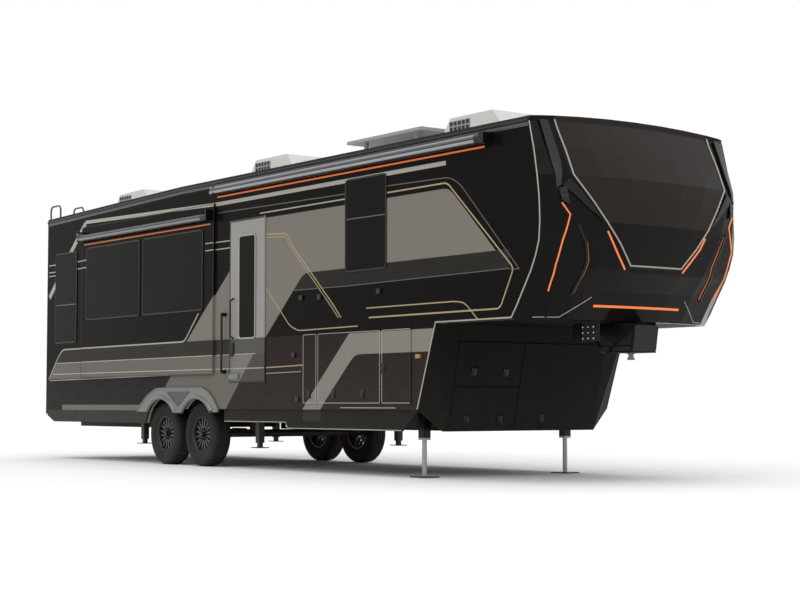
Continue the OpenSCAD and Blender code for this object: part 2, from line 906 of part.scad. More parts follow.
module jack(x) {
    half = jack_size / 2;
    translate([x, -jack_y, 0]) {
        block([-half, -half, jack_foot_z + 60], [half, half, rail_top_z]);
        block([-jack_rod / 2, -jack_rod / 2, jack_foot_z], [jack_rod / 2, jack_rod / 2, jack_foot_z + 60]);
        block([-jack_pad_half, -jack_pad_half + 25, jack_foot_z], [jack_pad_half, jack_pad_half - 25, jack_foot_z + 10]);
        block([-half, half, rail_top_z - 180], [half, jack_y - rail_y - rail_w / 2, rail_top_z]);
    }
}

module levelling_jacks() {
    color("#1b1b1b")
        both_sides()
            for (x = [axle_rear_x - jack_reach, axle_front_x + jack_reach])
                jack(x);
}

// Pin box and kingpin

box_half_w = 150;
wing_y = 380;
pin_neck_h = 35;
pin_waist_h = 22;
box_back = 480;
box_foot_back = 290;
box_ahead = 180;
box_nose = 218;

module pin_box() {
    color("#161616") {
        difference() {
            plate_y(-box_half_w, box_half_w)
                polygon([
                    [pin_x - box_back, deck_z],
                    [pin_x - box_foot_back, pin_plate_z + 25],
                    [pin_x - box_foot_back, pin_plate_z],
                    [pin_x + box_ahead, pin_plate_z],
                    [pin_x + box_nose, deck_z - 40],
                    [pin_x - 100, deck_z]
                ]);
            plate_y(-box_half_w + 14, box_half_w - 14)
                polygon([
                    [pin_x - box_back + 40, deck_z + 1],
                    [pin_x - box_foot_back + 28, pin_plate_z + 40],
                    [pin_x + 150, pin_plate_z + 40],
                    [pin_x + 150, deck_z - 60],
                    [pin_x - 110, deck_z + 1]
                ]);
        }
        both_sides() {
            block([pin_x - 300, -wing_y, deck_z - 190], [pin_x - 40, -wing_y + 14, deck_z]);
            block([pin_x - 300, -wing_y, deck_z - 14], [pin_x - 120, -box_half_w, deck_z]);
            block([pin_x - box_foot_back, -wing_y, deck_z - 120], [pin_x - box_foot_back + 14, -box_half_w, deck_z - 14]);
        }
    }
}

module kingpin() {
    color("#5a5a5a")
        translate([pin_x, 0, pin_plate_z])
            mirror([0, 0, 1])
                union() {
                    cylinder(h = 20, d = pin_flange_d + 2, $fn = 64);
                    cylinder(h = 20 + pin_neck_h, d = pin_neck_d, $fn = 64);
                    translate([0, 0, 20 + pin_neck_h])
                        cylinder(h = pin_waist_h, d = pin_flange_d, $fn = 64);
                }
}

// Slide-out rooms: a box that is open towards the cabin behind a flanged outer wall

module slide_box(len) {
    x0 = slide_x + slide_lap + slide_gap;
    x1 = slide_x + len - slide_lap - slide_gap;
    z0 = slide_z0 + slide_lap + slide_gap;
    z1 = slide_z1 - slide_lap - slide_gap;
    face = -half_w - seat_gap;
    difference() {
        union() {
            block([slide_x, face - slide_flange_t, slide_z0], [slide_x + len, face, slide_z1]);
            block([x0, face, z0], [x1, -half_w + slide_depth, z1]);
        }
        block(
            [x0 + slide_wall_t, -half_w + slide_wall_t, z0 + slide_wall_t],
            [x1 - slide_wall_t, -half_w + slide_depth + 1, z1 - slide_wall_t]
        );
        plate_y(-half_w - 100, -half_w + 100)
            for (w = slide_windows(len))
                lap_cut(w[0], w[1], slide_win_z0, slide_win_z1, glass_lap, win_r);
    }
}
slide_win_rear = 160;
slide_win_front = 250;
slide_win_gap = 90;
function slide_windows(len) =
    let (w = (len - slide_win_rear - slide_win_front - slide_win_gap) / 2)
    [[slide_x + slide_win_rear, w], [slide_x + slide_win_rear + w + slide_win_gap, w]];

module slide_glass(len) {
    plate_y(-half_w - seat_gap - slide_flange_t - glass_t, -half_w - seat_gap - slide_flange_t)
        for (w = slide_windows(len))
            soft_rect([w[0], slide_win_z0], [w[0] + w[1], slide_win_z1], win_r);
}

slide_roller_z = 2965;
slide_roller_r = 42;

module slide_awning(len) {
    face = -half_w - seat_gap - slide_flange_t;
    out = -half_w - awning_out;
    translate([slide_x + 30, 0, 0]) {
        bar_x(0, len - 60) {
            translate([out + slide_roller_r, slide_roller_z])
                circle(slide_roller_r);
            translate([out + slide_roller_r, slide_roller_z + 6])
                square([face - out - slide_roller_r, 24]);
        }
        for (x = [0, len - 60 - 22])
            bar_x(x, x + 22)
                translate([out, slide_roller_z - slide_roller_r])
                    square([face - out, 2 * slide_roller_r + 50]);
    }
}

module slide_out_curb() { color("#2b2c2e") slide_box(slide_len); }
module slide_out_road() { color("#2b2c2e") mirror([0, 1, 0]) slide_box(road_slide_len); }
module slide_glass_curb() { color("#0b0c0d") slide_glass(slide_len); }
module slide_glass_road() { color("#0b0c0d") mirror([0, 1, 0]) slide_glass(road_slide_len); }
module slide_awning_curb() { color("#1a1a1a") slide_awning(slide_len); }
module slide_awning_road() { color("#1a1a1a") mirror([0, 1, 0]) slide_awning(road_slide_len); }

// Doors and hatches, drawn on a wall whose outer face is the plane Y = 0 and faces -Y,
// with the lower left corner of the lip at the origin

module leaf(w, h, hinge) {
    block([0, -seat_gap - lip_t, 0], [w, -seat_gap, h]);
    block([lip, -seat_gap - lip_t, lip], [w - lip, door_core_t, h - lip]);
    if (hinge == "top")
        translate([0, -hinge_out, h])
            rotate([0, 90, 0])
                cylinder(h = w, r = hinge_r, $fn = 24);
    else
        translate([w, -hinge_out, 0])
            cylinder(h = h, r = hinge_r, $fn = 24);
}

module on_curb(x, z) {
    translate([x, -half_w, z])
        children();
}

door_glass_x0 = 220;
door_glass_x1 = 575;
door_glass_z0 = 508;
door_glass_z1 = door_h - 192;

module entry_door() {
    color("#b5b3ae")
        on_curb(door_x, door_z)
            difference() {
                leaf(door_w, door_h, "front");
                plate_y(-30, door_core_t + 10)
                    soft_rect(
                        [door_glass_x0 + glass_lap, door_glass_z0 + glass_lap],
                        [door_glass_x1 - glass_lap, door_glass_z1 - glass_lap], 30
                    );
            }
}

module entry_door_glass() {
    color("#0b0c0d")
        on_curb(door_x, door_z)
            plate_y(-seat_gap - lip_t - glass_t, -seat_gap - lip_t)
                soft_rect([door_glass_x0, door_glass_z0], [door_glass_x1, door_glass_z1], 40);
}

module hatch_curb_a() { color("#26282b") on_curb(hatch_a_x, hatch_z0) leaf(hatch_a_w, hatch_h, "top"); }
module hatch_curb_b() { color("#26282b") on_curb(hatch_b_x, hatch_z0) leaf(hatch_b_w, hatch_h, "top"); }
module hatch_curb_c() { color("#26282b") on_curb(hatch_c_x, hatch_z0) leaf(hatch_c_w, hatch_h, "front"); }
module hatch_road() {
    color("#26282b")
        mirror([0, 1, 0])
            on_curb(hatch_b_x, hatch_z0)
                leaf(hatch_b_w, hatch_h, "top");
}

module front_hatch_lower() {
    color("#1c1d1f")
        on_front_wall()
            translate([front_hatch_y0, 0, front_hatch_foot])
                leaf(upper_w, lower_h, "top");
}

module front_hatch_upper() {
    color("#1c1d1f")
        on_front_wall()
            translate([front_hatch_y0, 0, front_hatch_mid + front_hatch_gap])
                leaf(upper_w, upper_h, "top");
}

module front_hatch_road() {
    color("#1c1d1f")
        on_front_wall()
            translate([front_hatch_split + front_hatch_gap, 0, front_hatch_foot])
                leaf(road_w, road_h, "top");
}

// Grab handle behind the door
handle_back = 85;
handle_out = 62;
handle_r = 14;
handle_z0 = 1100;
handle_z1 = 1810;

module grab_handle() {
    color("#202020")
        translate([door_x - handle_back, 0, 0]) {
            translate([0, -half_w - handle_out, handle_z0])
                cylinder(h = handle_z1 - handle_z0, r = handle_r);
            for (z = [handle_z0, handle_z1 - 40])
                block([-handle_r, -half_w - handle_out, z], [handle_r, -half_w, z + 40]);
        }
}

// Glass of the fixed windows

module window_glass() {
    color("#0b0c0d") {
        both_sides()
            plate_y(-half_w - glass_t, -half_w) {
                soft_rect([rear_win_x, rear_win_z0], [rear_win_x + rear_win_w, rear_win_z1], win_r);
                soft_rect([bed_win_x, bed_win_z0], [bed_win_x + bed_win_w, bed_win_z1], win_r);
            }
        bar_x(rear_x - glass_t, rear_x)
            soft_rect([-rear_glass_w / 2, rear_glass_z0], [rear_glass_w / 2, rear_glass_z1], win_r);
    }
}

// Main awning in its case

module main_awning() {
    out = -half_w - awning_out;
    color("#1a1a1a")
        translate([awning_x, 0, 0]) {
            bar_x(0, awning_len) {
                translate([out + awning_r, awning_z])
                    circle(awning_r);
                translate([out + awning_r, awning_z + 4])
                    square([awning_out - awning_r, awning_r - 8]);
            }
            for (x = [0, awning_len - 70])
                bar_x(x, x + 70)
                    translate([out, awning_z - awning_r])
                        square([awning_out, 2 * awning_r]);
        }
}

// Roof equipment

ac_s = [735, 4400];
ac_front_back = 2400;

module air_conditioner() {
    plate_y(-ac_w / 2, ac_w / 2)
        polygon([
            [-ac_len / 2, 0],
            [ac_len / 2, 0],
            [ac_len / 2, ac_h * 0.45],
            [ac_len / 2 - 160, ac_h],
            [-ac_len / 2 + 110, ac_h],
            [-ac_len / 2, ac_h * 0.55]
        ]);
}

// Height of the roof's surface at a station and a distance from the middle
function roof_at(x, y) =
    eave_at(x) + lookup(y, [for (i = [1 : crown_steps + 1]) CROWN[i]]);

module air_conditioners() {
    color("#c9c9c6")
        for (x = [rear_x + ac_s[0], rear_x + ac_s[1], nose_x - ac_front_back])
            translate([x, 0, roof_at(x, 0)])
                rotate([0, x < fall_x ? -atan(rear_fall / fall_start) : 0, 0])
                    air_conditioner();
}

panel_back = 4500;
panel_len = 1400;
panel_w = 1000;
panel_lift = 240;

module roof_fittings() {
    color("#2e2f31") {
        translate([nose_x - panel_back, 0, top_z + roof_crown + panel_lift])
            block([0, -panel_w / 2, 0], [panel_len, panel_w / 2, 35]);
        for (x = [200, panel_len - 240], y = [-400, 360])
            block(
                [nose_x - panel_back + x, y, roof_at(nose_x, 360)],
                [nose_x - panel_back + x + 40, y + 40, top_z + roof_crown + panel_lift]
            );
    }
}

// Ladder on the rear wall, with its two stiles bent over the roof's edge
ladder_y0 = -1200;
ladder_foot_z = 1000;
ladder_top_z = 3520;
hoop_len = 310;
bend_r = 70;
bend_join = 0.05;
standoff_r = 9;
rung_r = 10;
rungs = 8;

module stile(y) {
    x = rear_x - ladder_out + ladder_d / 2;
    r = ladder_d / 2;
    foot = roof_at(x + hoop_len + r, abs(y) - r);
    translate([x + hoop_len / 2, y, 0])
        for (end = [[0, ladder_foot_z], [1, foot]])
            mirror([end[0], 0, 0]) {
                translate([-hoop_len / 2, 0, end[1]])
                    cylinder(h = ladder_top_z - bend_r - end[1] + bend_join, r = r);
                translate([bend_r - hoop_len / 2, 0, ladder_top_z - bend_r])
                    rotate([90, -90, 0])
                        rotate_extrude(angle = 90)
                            translate([bend_r, 0])
                                circle(r);
                translate([bend_r - hoop_len / 2 - bend_join, 0, ladder_top_z])
                    rotate([0, 90, 0])
                        cylinder(h = hoop_len / 2 - bend_r + 2 * bend_join, r = r);
            }
    for (z = [ladder_foot_z + 80, (ladder_foot_z + eave_z - rear_fall) / 2, eave_z - rear_fall - 120])
        translate([x, y, z])
            rotate([0, 90, 0])
                cylinder(h = ladder_out - r, r = standoff_r);
}

module ladder() {
    color("#8a8d90") {
        stile(ladder_y0);
        stile(ladder_y0 + ladder_w);
        for (i = [0 : rungs - 1])
            translate([rear_x - ladder_out + ladder_d / 2, ladder_y0, ladder_foot_z + 40 + i * rung_pitch])
                rotate([-90, 0, 0])
                    cylinder(h = ladder_w, r = rung_r);
    }
}

// Lamps: tail lamps, side markers and porch lamp
tail_y = 1130;
tail_z0 = 650;
tail_h = 310;
lamp_t = 22;
marker_back = 2100;
marker_z = 1220;
marker_w = 70;
marker_h = 40;

module lamps() {
    color("#8c1a12") {
        both_sides()
            bar_x(rear_x - lamp_t, rear_x)
                soft_rect([-tail_y - 60, tail_z0], [-tail_y + 60, tail_z0 + tail_h], 20);
    }
    color("#d9a441")
        both_sides()
            plate_y(-half_w - lamp_t, -half_w)
                translate([nose_x - marker_back, marker_z])
                    soft_rect([-marker_w / 2, -marker_h / 2], [marker_w / 2, marker_h / 2], 10);
}

chassis_frame();
underbelly_tray();
main_floor();
storage_floor();
front_deck();
bulkhead();
side_wall_curb();
side_wall_road();
rear_wall();
front_wall();
roof();
front_cap();
axle_front();
axle_rear();
suspension();
fender_curb();
fender_road();
tyre_curb_front();
tyre_curb_rear();
tyre_road_front();
tyre_road_rear();
rim_curb_front();
rim_curb_rear();
rim_road_front();
rim_road_rear();
landing_legs();
levelling_jacks();
pin_box();
kingpin();
slide_out_curb();
slide_glass_curb();
slide_awning_curb();
slide_out_road();
slide_glass_road();
slide_awning_road();
entry_door();
entry_door_glass();
grab_handle();
hatch_curb_a();
hatch_curb_b();
hatch_curb_c();
hatch_road();
front_hatch_upper();
front_hatch_lower();
front_hatch_road();
window_glass();
main_awning();
air_conditioners();
roof_fittings();
ladder();
lamps();
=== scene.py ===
import math

import bpy
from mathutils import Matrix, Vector


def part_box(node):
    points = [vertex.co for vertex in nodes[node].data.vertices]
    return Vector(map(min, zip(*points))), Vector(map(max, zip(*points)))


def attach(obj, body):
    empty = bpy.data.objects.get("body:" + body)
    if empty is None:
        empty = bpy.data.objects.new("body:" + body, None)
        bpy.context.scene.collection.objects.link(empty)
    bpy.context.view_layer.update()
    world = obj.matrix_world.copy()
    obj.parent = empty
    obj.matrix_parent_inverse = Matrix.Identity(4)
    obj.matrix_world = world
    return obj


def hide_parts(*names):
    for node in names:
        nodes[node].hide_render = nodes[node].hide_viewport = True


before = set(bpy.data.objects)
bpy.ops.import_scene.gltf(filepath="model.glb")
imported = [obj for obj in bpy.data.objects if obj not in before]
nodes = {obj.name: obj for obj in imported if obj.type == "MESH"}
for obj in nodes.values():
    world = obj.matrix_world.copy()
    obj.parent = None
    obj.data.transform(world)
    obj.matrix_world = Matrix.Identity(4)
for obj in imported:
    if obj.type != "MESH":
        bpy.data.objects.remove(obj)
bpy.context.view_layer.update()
scene = bpy.context.scene
scene.view_settings.view_transform = "Standard"

# Places on the trailer, in metres: X points to the towing end, -Y to the kerb side
WALL_Y = -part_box("side_wall_curb")[0].y
DOOR_LOW, DOOR_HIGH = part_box("entry_door")
REAR_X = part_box("rear_wall")[0].x
EAVE_Z = 3.360
SILL_Z = 0.686
DECK_Z = 1.535
FRONT_FOOT = Vector((3.383, 0.0, 0.470))
FRONT_TILT = math.radians(12.238)
TYRE_Y = 1.138
TYRE_R = 0.382
TYRE_HALF_W = 0.112
RIM_R = 0.210
AXLES = {"front": -1.080, "rear": -1.968}
CAMERA_PLACE = (16.927, -11.585, 0.749)
CAMERA_TURN = (math.radians(93.4608), 0.0, math.radians(53.5100))
CAMERA_LENS = 77.164

def deselect():
    bpy.ops.object.select_all(action="DESELECT")


# Camera and lights

def camera():
    bpy.ops.object.camera_add(location=CAMERA_PLACE, rotation=CAMERA_TURN)
    eye = bpy.context.object
    eye.data.lens = CAMERA_LENS
    eye.data.sensor_width = 36.0
    eye.data.clip_end = 200.0
    scene.camera = eye


def put(tree, kind, inputs=None, **settings):
    """A node with its settings and inputs; an input is a value or another node's output"""
    made = tree.nodes.new(kind)
    for name, value in settings.items():
        setattr(made, name, value)
    for name, value in (inputs or {}).items():
        socket = made.inputs[name]
        if isinstance(value, bpy.types.NodeSocket):
            tree.links.new(value, socket)
        else:
            socket.default_value = value
    return made


def calc(tree, operation, *values, clamp=False):
    made = put(tree, "ShaderNodeMath", dict(enumerate(values)), operation=operation, use_clamp=clamp)
    return made.outputs[0]


def studio():
    world = bpy.data.worlds.new("studio")
    scene.world = world
    world.use_nodes = True
    tree = world.node_tree
    sky = tree.nodes["Background"]
    sky.inputs["Color"].default_value = (1.0, 1.0, 1.0, 1.0)
    rays = put(tree, "ShaderNodeLightPath")
    seen = calc(tree, "MAXIMUM", rays.outputs["Is Camera Ray"], rays.outputs["Is Transmission Ray"])
    seen = calc(tree, "MAXIMUM", seen, rays.outputs["Is Glossy Ray"])
    level = put(tree, "ShaderNodeMapRange", {"Value": seen, "To Min": 0.62, "To Max": 1.0})
    tree.links.new(level.outputs[0], sky.inputs["Strength"])
    for name, turn, spread, strength in (
        ("overhead_sun", (0, 0, 0), 60, 1.1),
        ("kerb_sun", (50, 0, 20), 40, 0.5),
        ("front_sun", (55, 0, 75), 40, 0.35),
    ):
        bpy.ops.object.light_add(type="SUN", rotation=[math.radians(a) for a in turn])
        lamp = bpy.context.object
        lamp.name = name
        lamp.data.angle = math.radians(spread)
        lamp.data.energy = strength


def studio_floor():
    deselect()
    bpy.ops.mesh.primitive_plane_add(size=160.0, location=(0, 0, -0.001))
    floor = bpy.context.object
    floor.name = "studio_floor"
    finish = bpy.data.materials.new("studio_floor")
    finish.use_nodes = True
    shader = finish.node_tree.nodes["Principled BSDF"]
    shader.inputs["Base Color"].default_value = (0.93, 0.93, 0.93, 1.0)
    shader.inputs["Roughness"].default_value = 0.9
    shader.inputs["Specular IOR Level"].default_value = 0.0
    floor.data.materials.append(finish)


# Finishes

def colour(code):
    """Linear colour of a screen colour such as 12110f"""
    parts = [int(code[i:i + 2], 16) / 255 for i in (0, 2, 4)]
    return tuple((p / 12.92 if p < 0.04045 else ((p + 0.055) / 1.055) ** 2.4) for p in parts) + (1.0,)


def effect(name, inputs, outputs):
    """An empty effect group with its named sockets"""
    group = bpy.data.node_groups.new(name, "ShaderNodeTree")
    for socket, kind, value in inputs:
        made = group.interface.new_socket(socket, in_out="INPUT", socket_type=kind)
        if value is not None:
            made.default_value = value
    for socket, kind in outputs:
        group.interface.new_socket(socket, in_out="OUTPUT", socket_type=kind)
    return group, put(group, "NodeGroupInput"), put(group, "NodeGroupOutput")


def make_surface_grain():
    """Uneven colour, gloss and height of a moulded, painted or cast surface"""
    group, given, made = effect(
        "surface_grain",
        [
            ("Colour", "NodeSocketColor", (0.5, 0.5, 0.5, 1.0)),
            ("Scale", "NodeSocketFloat", 40.0),
            ("Variation", "NodeSocketFloat", 0.1),
            ("Roughness", "NodeSocketFloat", 0.5),
        ],
        [("Colour", "NodeSocketColor"), ("Roughness", "NodeSocketFloat"), ("Height", "NodeSocketFloat")],
    )
    place = put(group, "ShaderNodeTexCoord").outputs["Object"]
    fine = put(group, "ShaderNodeTexNoise", {"Vector": place, "Scale": given.outputs["Scale"], "Detail": 3.0})
    broad = put(group, "ShaderNodeTexNoise", {"Vector": place, "Scale": 1.3, "Detail": 2.0})
    both = calc(group, "ADD", fine.outputs["Fac"], broad.outputs["Fac"])
    off = calc(group, "SUBTRACT", both, 1.0)
    swing = calc(group, "MULTIPLY_ADD", off, given.outputs["Variation"], 1.0)
    tinted = put(group, "ShaderNodeVectorMath", {0: given.outputs["Colour"]}, operation="SCALE")
    group.links.new(swing, tinted.inputs["Scale"])
    rough = calc(group, "MULTIPLY_ADD", off, 0.25, 1.0)
    group.links.new(tinted.outputs[0], made.inputs["Colour"])
    group.links.new(calc(group, "MULTIPLY", rough, given.outputs["Roughness"]), made.inputs["Roughness"])
    group.links.new(fine.outputs["Fac"], made.inputs["Height"])
    return group


def make_dust_and_ground_reflection():
    """Dust that thins out upwards from the ground; on the painted walls it also stands for a painted reflection of the
    ground
    """
    group, given, made = effect(
        "dust_and_ground_reflection",
        [("Colour", "NodeSocketColor", (0.5, 0.5, 0.5, 1.0)), ("Amount", "NodeSocketFloat", 0.2), ("Top", "NodeSocketFloat", 1.0)],
        [("Colour", "NodeSocketColor")],
    )
    place = put(group, "ShaderNodeTexCoord").outputs["Object"]
    height = put(group, "ShaderNodeSeparateXYZ", {0: place}).outputs["Z"]
    fade = put(group, "ShaderNodeMapRange", {"Value": height, "From Max": given.outputs["Top"], "To Min": 1.0, "To Max": 0.0})
    cloud = put(group, "ShaderNodeTexNoise", {"Vector": place, "Scale": 9.0, "Detail": 5.0}).outputs["Fac"]
    mask = calc(group, "MULTIPLY", calc(group, "MULTIPLY", fade.outputs[0], cloud), given.outputs["Amount"], clamp=True)
    mixed = put(group, "ShaderNodeMix", {0: mask, 6: given.outputs["Colour"], 7: colour("8d8375")}, data_type="RGBA")
    group.links.new(mixed.outputs[2], made.inputs["Colour"])
    return group


SURFACE_GRAIN = make_surface_grain()
DUST_AND_GROUND_REFLECTION = make_dust_and_ground_reflection()


def finish_of(name, base, rough, metal=0.0, gloss=0.5, grain=60.0, variation=0.12, bump=0.02, dust_and_reflection=0.0, dust_and_reflection_top=1.0):
    """A finish with grain and a slight bump. Dust towards the ground can be added, which on the painted walls is also a
    painted reflection of the ground. The base is a colour code or a function that draws the colour and may return its
    own roughness"""
    made = bpy.data.materials.new(name)
    made.use_nodes = True
    tree = made.node_tree
    shader = tree.nodes["Principled BSDF"]
    shader.inputs["Metallic"].default_value = metal
    shader.inputs["Specular IOR Level"].default_value = gloss
    drawn = colour(base) if isinstance(base, str) else base(tree)
    skin = put(
        tree, "ShaderNodeGroup",
        {}, node_tree=SURFACE_GRAIN,
    )
    if isinstance(drawn, tuple):
        skin.inputs["Colour"].default_value = drawn
    else:
        tree.links.new(drawn, skin.inputs["Colour"])
    skin.inputs["Scale"].default_value = grain
    skin.inputs["Variation"].default_value = variation
    skin.inputs["Roughness"].default_value = rough
    last = skin.outputs["Colour"]
    # Dust, lighter towards the ground; on the painted walls it is also a painted reflection of the ground
    if dust_and_reflection:
        film = put(tree, "ShaderNodeGroup", {}, node_tree=DUST_AND_GROUND_REFLECTION)
        tree.links.new(last, film.inputs["Colour"])
        film.inputs["Amount"].default_value = dust_and_reflection
        film.inputs["Top"].default_value = dust_and_reflection_top
        last = film.outputs["Colour"]
    tree.links.new(last, shader.inputs["Base Color"])
    tree.links.new(skin.outputs["Roughness"], shader.inputs["Roughness"])
    relief = put(tree, "ShaderNodeBump", {"Height": skin.outputs["Height"], "Strength": 0.4, "Distance": bump * 0.01})
    tree.links.new(relief.outputs[0], shader.inputs["Normal"])
    return made


def place_of(tree):
    """Object X, Y and Z"""
    spot = put(tree, "ShaderNodeSeparateXYZ", {0: put(tree, "ShaderNodeTexCoord").outputs["Object"]})
    return spot.outputs["X"], spot.outputs["Y"], spot.outputs["Z"]


def rise_over(tree, x, z, start, end):
    """How far a place lies above the line through two points (X, Z)"""
    slope = (end[1] - start[1]) / (end[0] - start[0])
    line = calc(tree, "MULTIPLY_ADD", x, slope, start[1] - slope * start[0])
    return calc(tree, "SUBTRACT", z, line)


def least(tree, *values):
    found = values[0]
    for value in values[1:]:
        found = calc(tree, "MINIMUM", found, value)
    return found


def flip(tree, value):
    return calc(tree, "MULTIPLY", value, -1.0)


def over(tree, value, limit):
    return calc(tree, "SUBTRACT", value, limit)


def under(tree, value, limit):
    return calc(tree, "SUBTRACT", limit, value)


PAINT_EDGE = 0.003


def painted(tree, below, code, depth):
    """Lays a colour over the one below wherever the depth inside its field is above zero"""
    mask = put(tree, "ShaderNodeMapRange", {"Value": depth, "From Min": -PAINT_EDGE, "From Max": PAINT_EDGE}).outputs[0]
    coat = put(tree, "ShaderNodeMix", {0: mask, 7: colour(code)}, data_type="RGBA")
    if isinstance(below, tuple):
        coat.inputs[6].default_value = below
    else:
        tree.links.new(below, coat.inputs[6])
    return coat.outputs[2]


# Lines of the paint scheme as points (X, Z)
REAR_SLOPE = ((-5.230, 1.090), (-4.920, 1.410))
DOOR_SLOPE = ((-0.420, 0.690), (0.160, 1.280))
LEFT_SLOPE = ((-1.340, 1.480), (-0.340, 2.310))
MIDDLE_SLOPE = ((0.470, 1.520), (1.170, 2.130))
WHEEL_SLOPE = ((-1.930, 0.920), (-1.740, 1.090))
SWOOSH_BACK = ((1.200, 0.680), (2.100, 1.480))
SWOOSH_FRONT = ((1.550, 0.680), (2.080, 1.150))
NOSE_SLOPE = ((3.850, 2.820), (4.520, 2.190))
DOOR_END = 0.440
BEDROOM = (2.040, 2.770)


def side_colours(tree):
    """The side walls' colour fields, drawn over X and Z"""
    x, _, z = place_of(tree)
    drawn = colour("110f0d")
    past_door = over(tree, x, DOOR_END)
    drawn = painted(tree, drawn, "2a2321", least(tree, under(tree, z, 1.50), flip(tree, rise_over(tree, x, z, *DOOR_SLOPE))))
    drawn = painted(tree, drawn, "2b2926", least(tree, over(tree, z, 2.0), under(tree, z, 2.19), over(tree, x, 0.95), under(tree, x, 4.72)))
    shoulder = calc(tree, "SMOOTH_MIN", under(tree, z, 2.18), flip(tree, rise_over(tree, x, z, *MIDDLE_SLOPE)), 0.12)
    drawn = painted(tree, drawn, "7b766e", least(tree, flip(tree, shoulder), past_door, under(tree, x, BEDROOM[0]), under(tree, z, 2.855)))
    drawn = painted(tree, drawn, "7b766e", least(
        tree, over(tree, z, 1.50), flip(tree, rise_over(tree, x, z, *LEFT_SLOPE)), under(tree, x, DOOR_END - 0.1)))
    nose = calc(tree, "SMOOTH_MIN", under(tree, z, 2.855), flip(tree, rise_over(tree, x, z, *NOSE_SLOPE)), 0.12)
    drawn = painted(tree, drawn, "7b766e", least(tree, nose, over(tree, z, 2.19), over(tree, x, BEDROOM[1])))
    rear = flip(tree, rise_over(tree, x, z, *REAR_SLOPE))
    drawn = painted(tree, drawn, "33312c", least(tree, over(tree, z, 1.31), under(tree, z, 1.50), rear, under(tree, x, DOOR_END)))
    light = least(tree, under(tree, z, 1.31), rise_over(tree, x, z, *DOOR_SLOPE), rear)
    wheel = calc(tree, "MAXIMUM", over(tree, z, 1.09), flip(tree, rise_over(tree, x, z, *WHEEL_SLOPE)))
    drawn = painted(tree, drawn, "6c6862", least(tree, light, wheel))
    drawn = painted(tree, drawn, "1b1918", least(tree, under(tree, z, 1.06), rise_over(tree, x, z, *WHEEL_SLOPE), over(tree, z, 0.73)))
    drawn = painted(tree, drawn, "6f6d69", least(tree, under(tree, z, 0.735), over(tree, z, 0.665), over(tree, x, -4.80), under(tree, x, -2.40)))
    drawn = painted(tree, drawn, "33312f", least(tree, under(tree, z, 0.665), under(tree, x, -2.0)))
    foot = calc(tree, "SMOOTH_MAX", rise_over(tree, x, z, *SWOOSH_FRONT), over(tree, z, 1.265), 0.12)
    swoosh = least(tree, under(tree, z, 1.49), flip(tree, rise_over(tree, x, z, *SWOOSH_BACK)), foot)
    return painted(tree, drawn, "86807a", swoosh)


def wall_colours(tree):
    """Painted outer faces and pale boards inside"""
    _, y, _ = place_of(tree)
    inside = under(tree, calc(tree, "ABSOLUTE", y), WALL_Y - 0.025)
    return painted(tree, side_colours(tree), "a39a8b", inside)


def room_colours(tree):
    """A slide-out's painted outer wall on a plain dark box"""
    _, y, _ = place_of(tree)
    inside = under(tree, calc(tree, "ABSOLUTE", y), WALL_Y - 0.006)
    return painted(tree, side_colours(tree), "1d1c1b", inside)


def door_colours(tree):
    """The entry door: silver grey above, the wall's bands carried on below"""
    x, _, z = place_of(tree)
    drawn = painted(tree, colour("8d8a86"), "3a3733", under(tree, z, 1.50))
    drawn = painted(tree, drawn, "6c6862", least(tree, under(tree, z, 1.31), rise_over(tree, x, z, *DOOR_SLOPE)))
    drawn = painted(tree, drawn, "2a2321", least(tree, under(tree, z, 1.31), flip(tree, rise_over(tree, x, z, *DOOR_SLOPE))))
    return drawn


SHIELD_LINE = [(1.015, 3.412), (1.002, 2.848), (0.666, 2.423), (0.328, 2.032)]


def cap_colours(tree):
    """The front cap: a brown middle panel between black cheeks, lighter above its crease as a painted reflection of the
    horizon and darker below it
    """
    x, y, z = place_of(tree)
    half = calc(tree, "ABSOLUTE", y)
    drawn = colour("0b0b0b")
    (y0, z0), (y1, z1), (y2, z2) = SHIELD_LINE[1:]
    slope_a = calc(tree, "MULTIPLY_ADD", z, (y0 - y1) / (z0 - z1), y1 - z1 * (y0 - y1) / (z0 - z1))
    slope_b = calc(tree, "MULTIPLY_ADD", z, (y1 - y2) / (z1 - z2), y2 - z2 * (y1 - y2) / (z1 - z2))
    edge = least(tree, slope_a, slope_b)
    shield = least(tree, under(tree, half, 1.008), calc(tree, "SUBTRACT", edge, half), over(tree, z, 2.032), over(tree, x, 4.5))
    # The panel's brown is partly its paint and partly a painted reflection of the horizon; below the crease that
    # painted reflection stops and it is darker
    drawn = painted(tree, drawn, "25201d", shield)
    drawn = painted(tree, drawn, "120f0d", least(tree, shield, under(tree, z, 2.423)))
    chin = least(tree, under(tree, z, 2.0), under(tree, half, 0.80), over(tree, x, 4.7))
    return painted(tree, drawn, "16110f", chin)


def leg_colours(tree):
    """Black housings over bare inner tubes and dark feet"""
    _, _, z = place_of(tree)
    drawn = painted(tree, colour("131313"), "9a9c9e", under(tree, z, 0.40))
    return painted(tree, drawn, "1a1a1a", under(tree, z, 0.014))


def lamp_colours(tree):
    x, _, _ = place_of(tree)
    return painted(tree, colour("7c1610"), "a87a3c", over(tree, x, 0.0))


def skirt_colours(tree):
    """The black tray with the foot of the sweep carried onto its side"""
    x, _, z = place_of(tree)
    return painted(tree, colour("0c0c0b"), "2b2725", least(tree, over(tree, x, 1.19), under(tree, x, 1.53), over(tree, z, 0.56)))


def roof_colours(tree):
    """A pale sheet between dark edge rails"""
    _, y, _ = place_of(tree)
    return painted(tree, colour("c4c3be"), "2c2c2d", over(tree, calc(tree, "ABSOLUTE", y), 1.215))


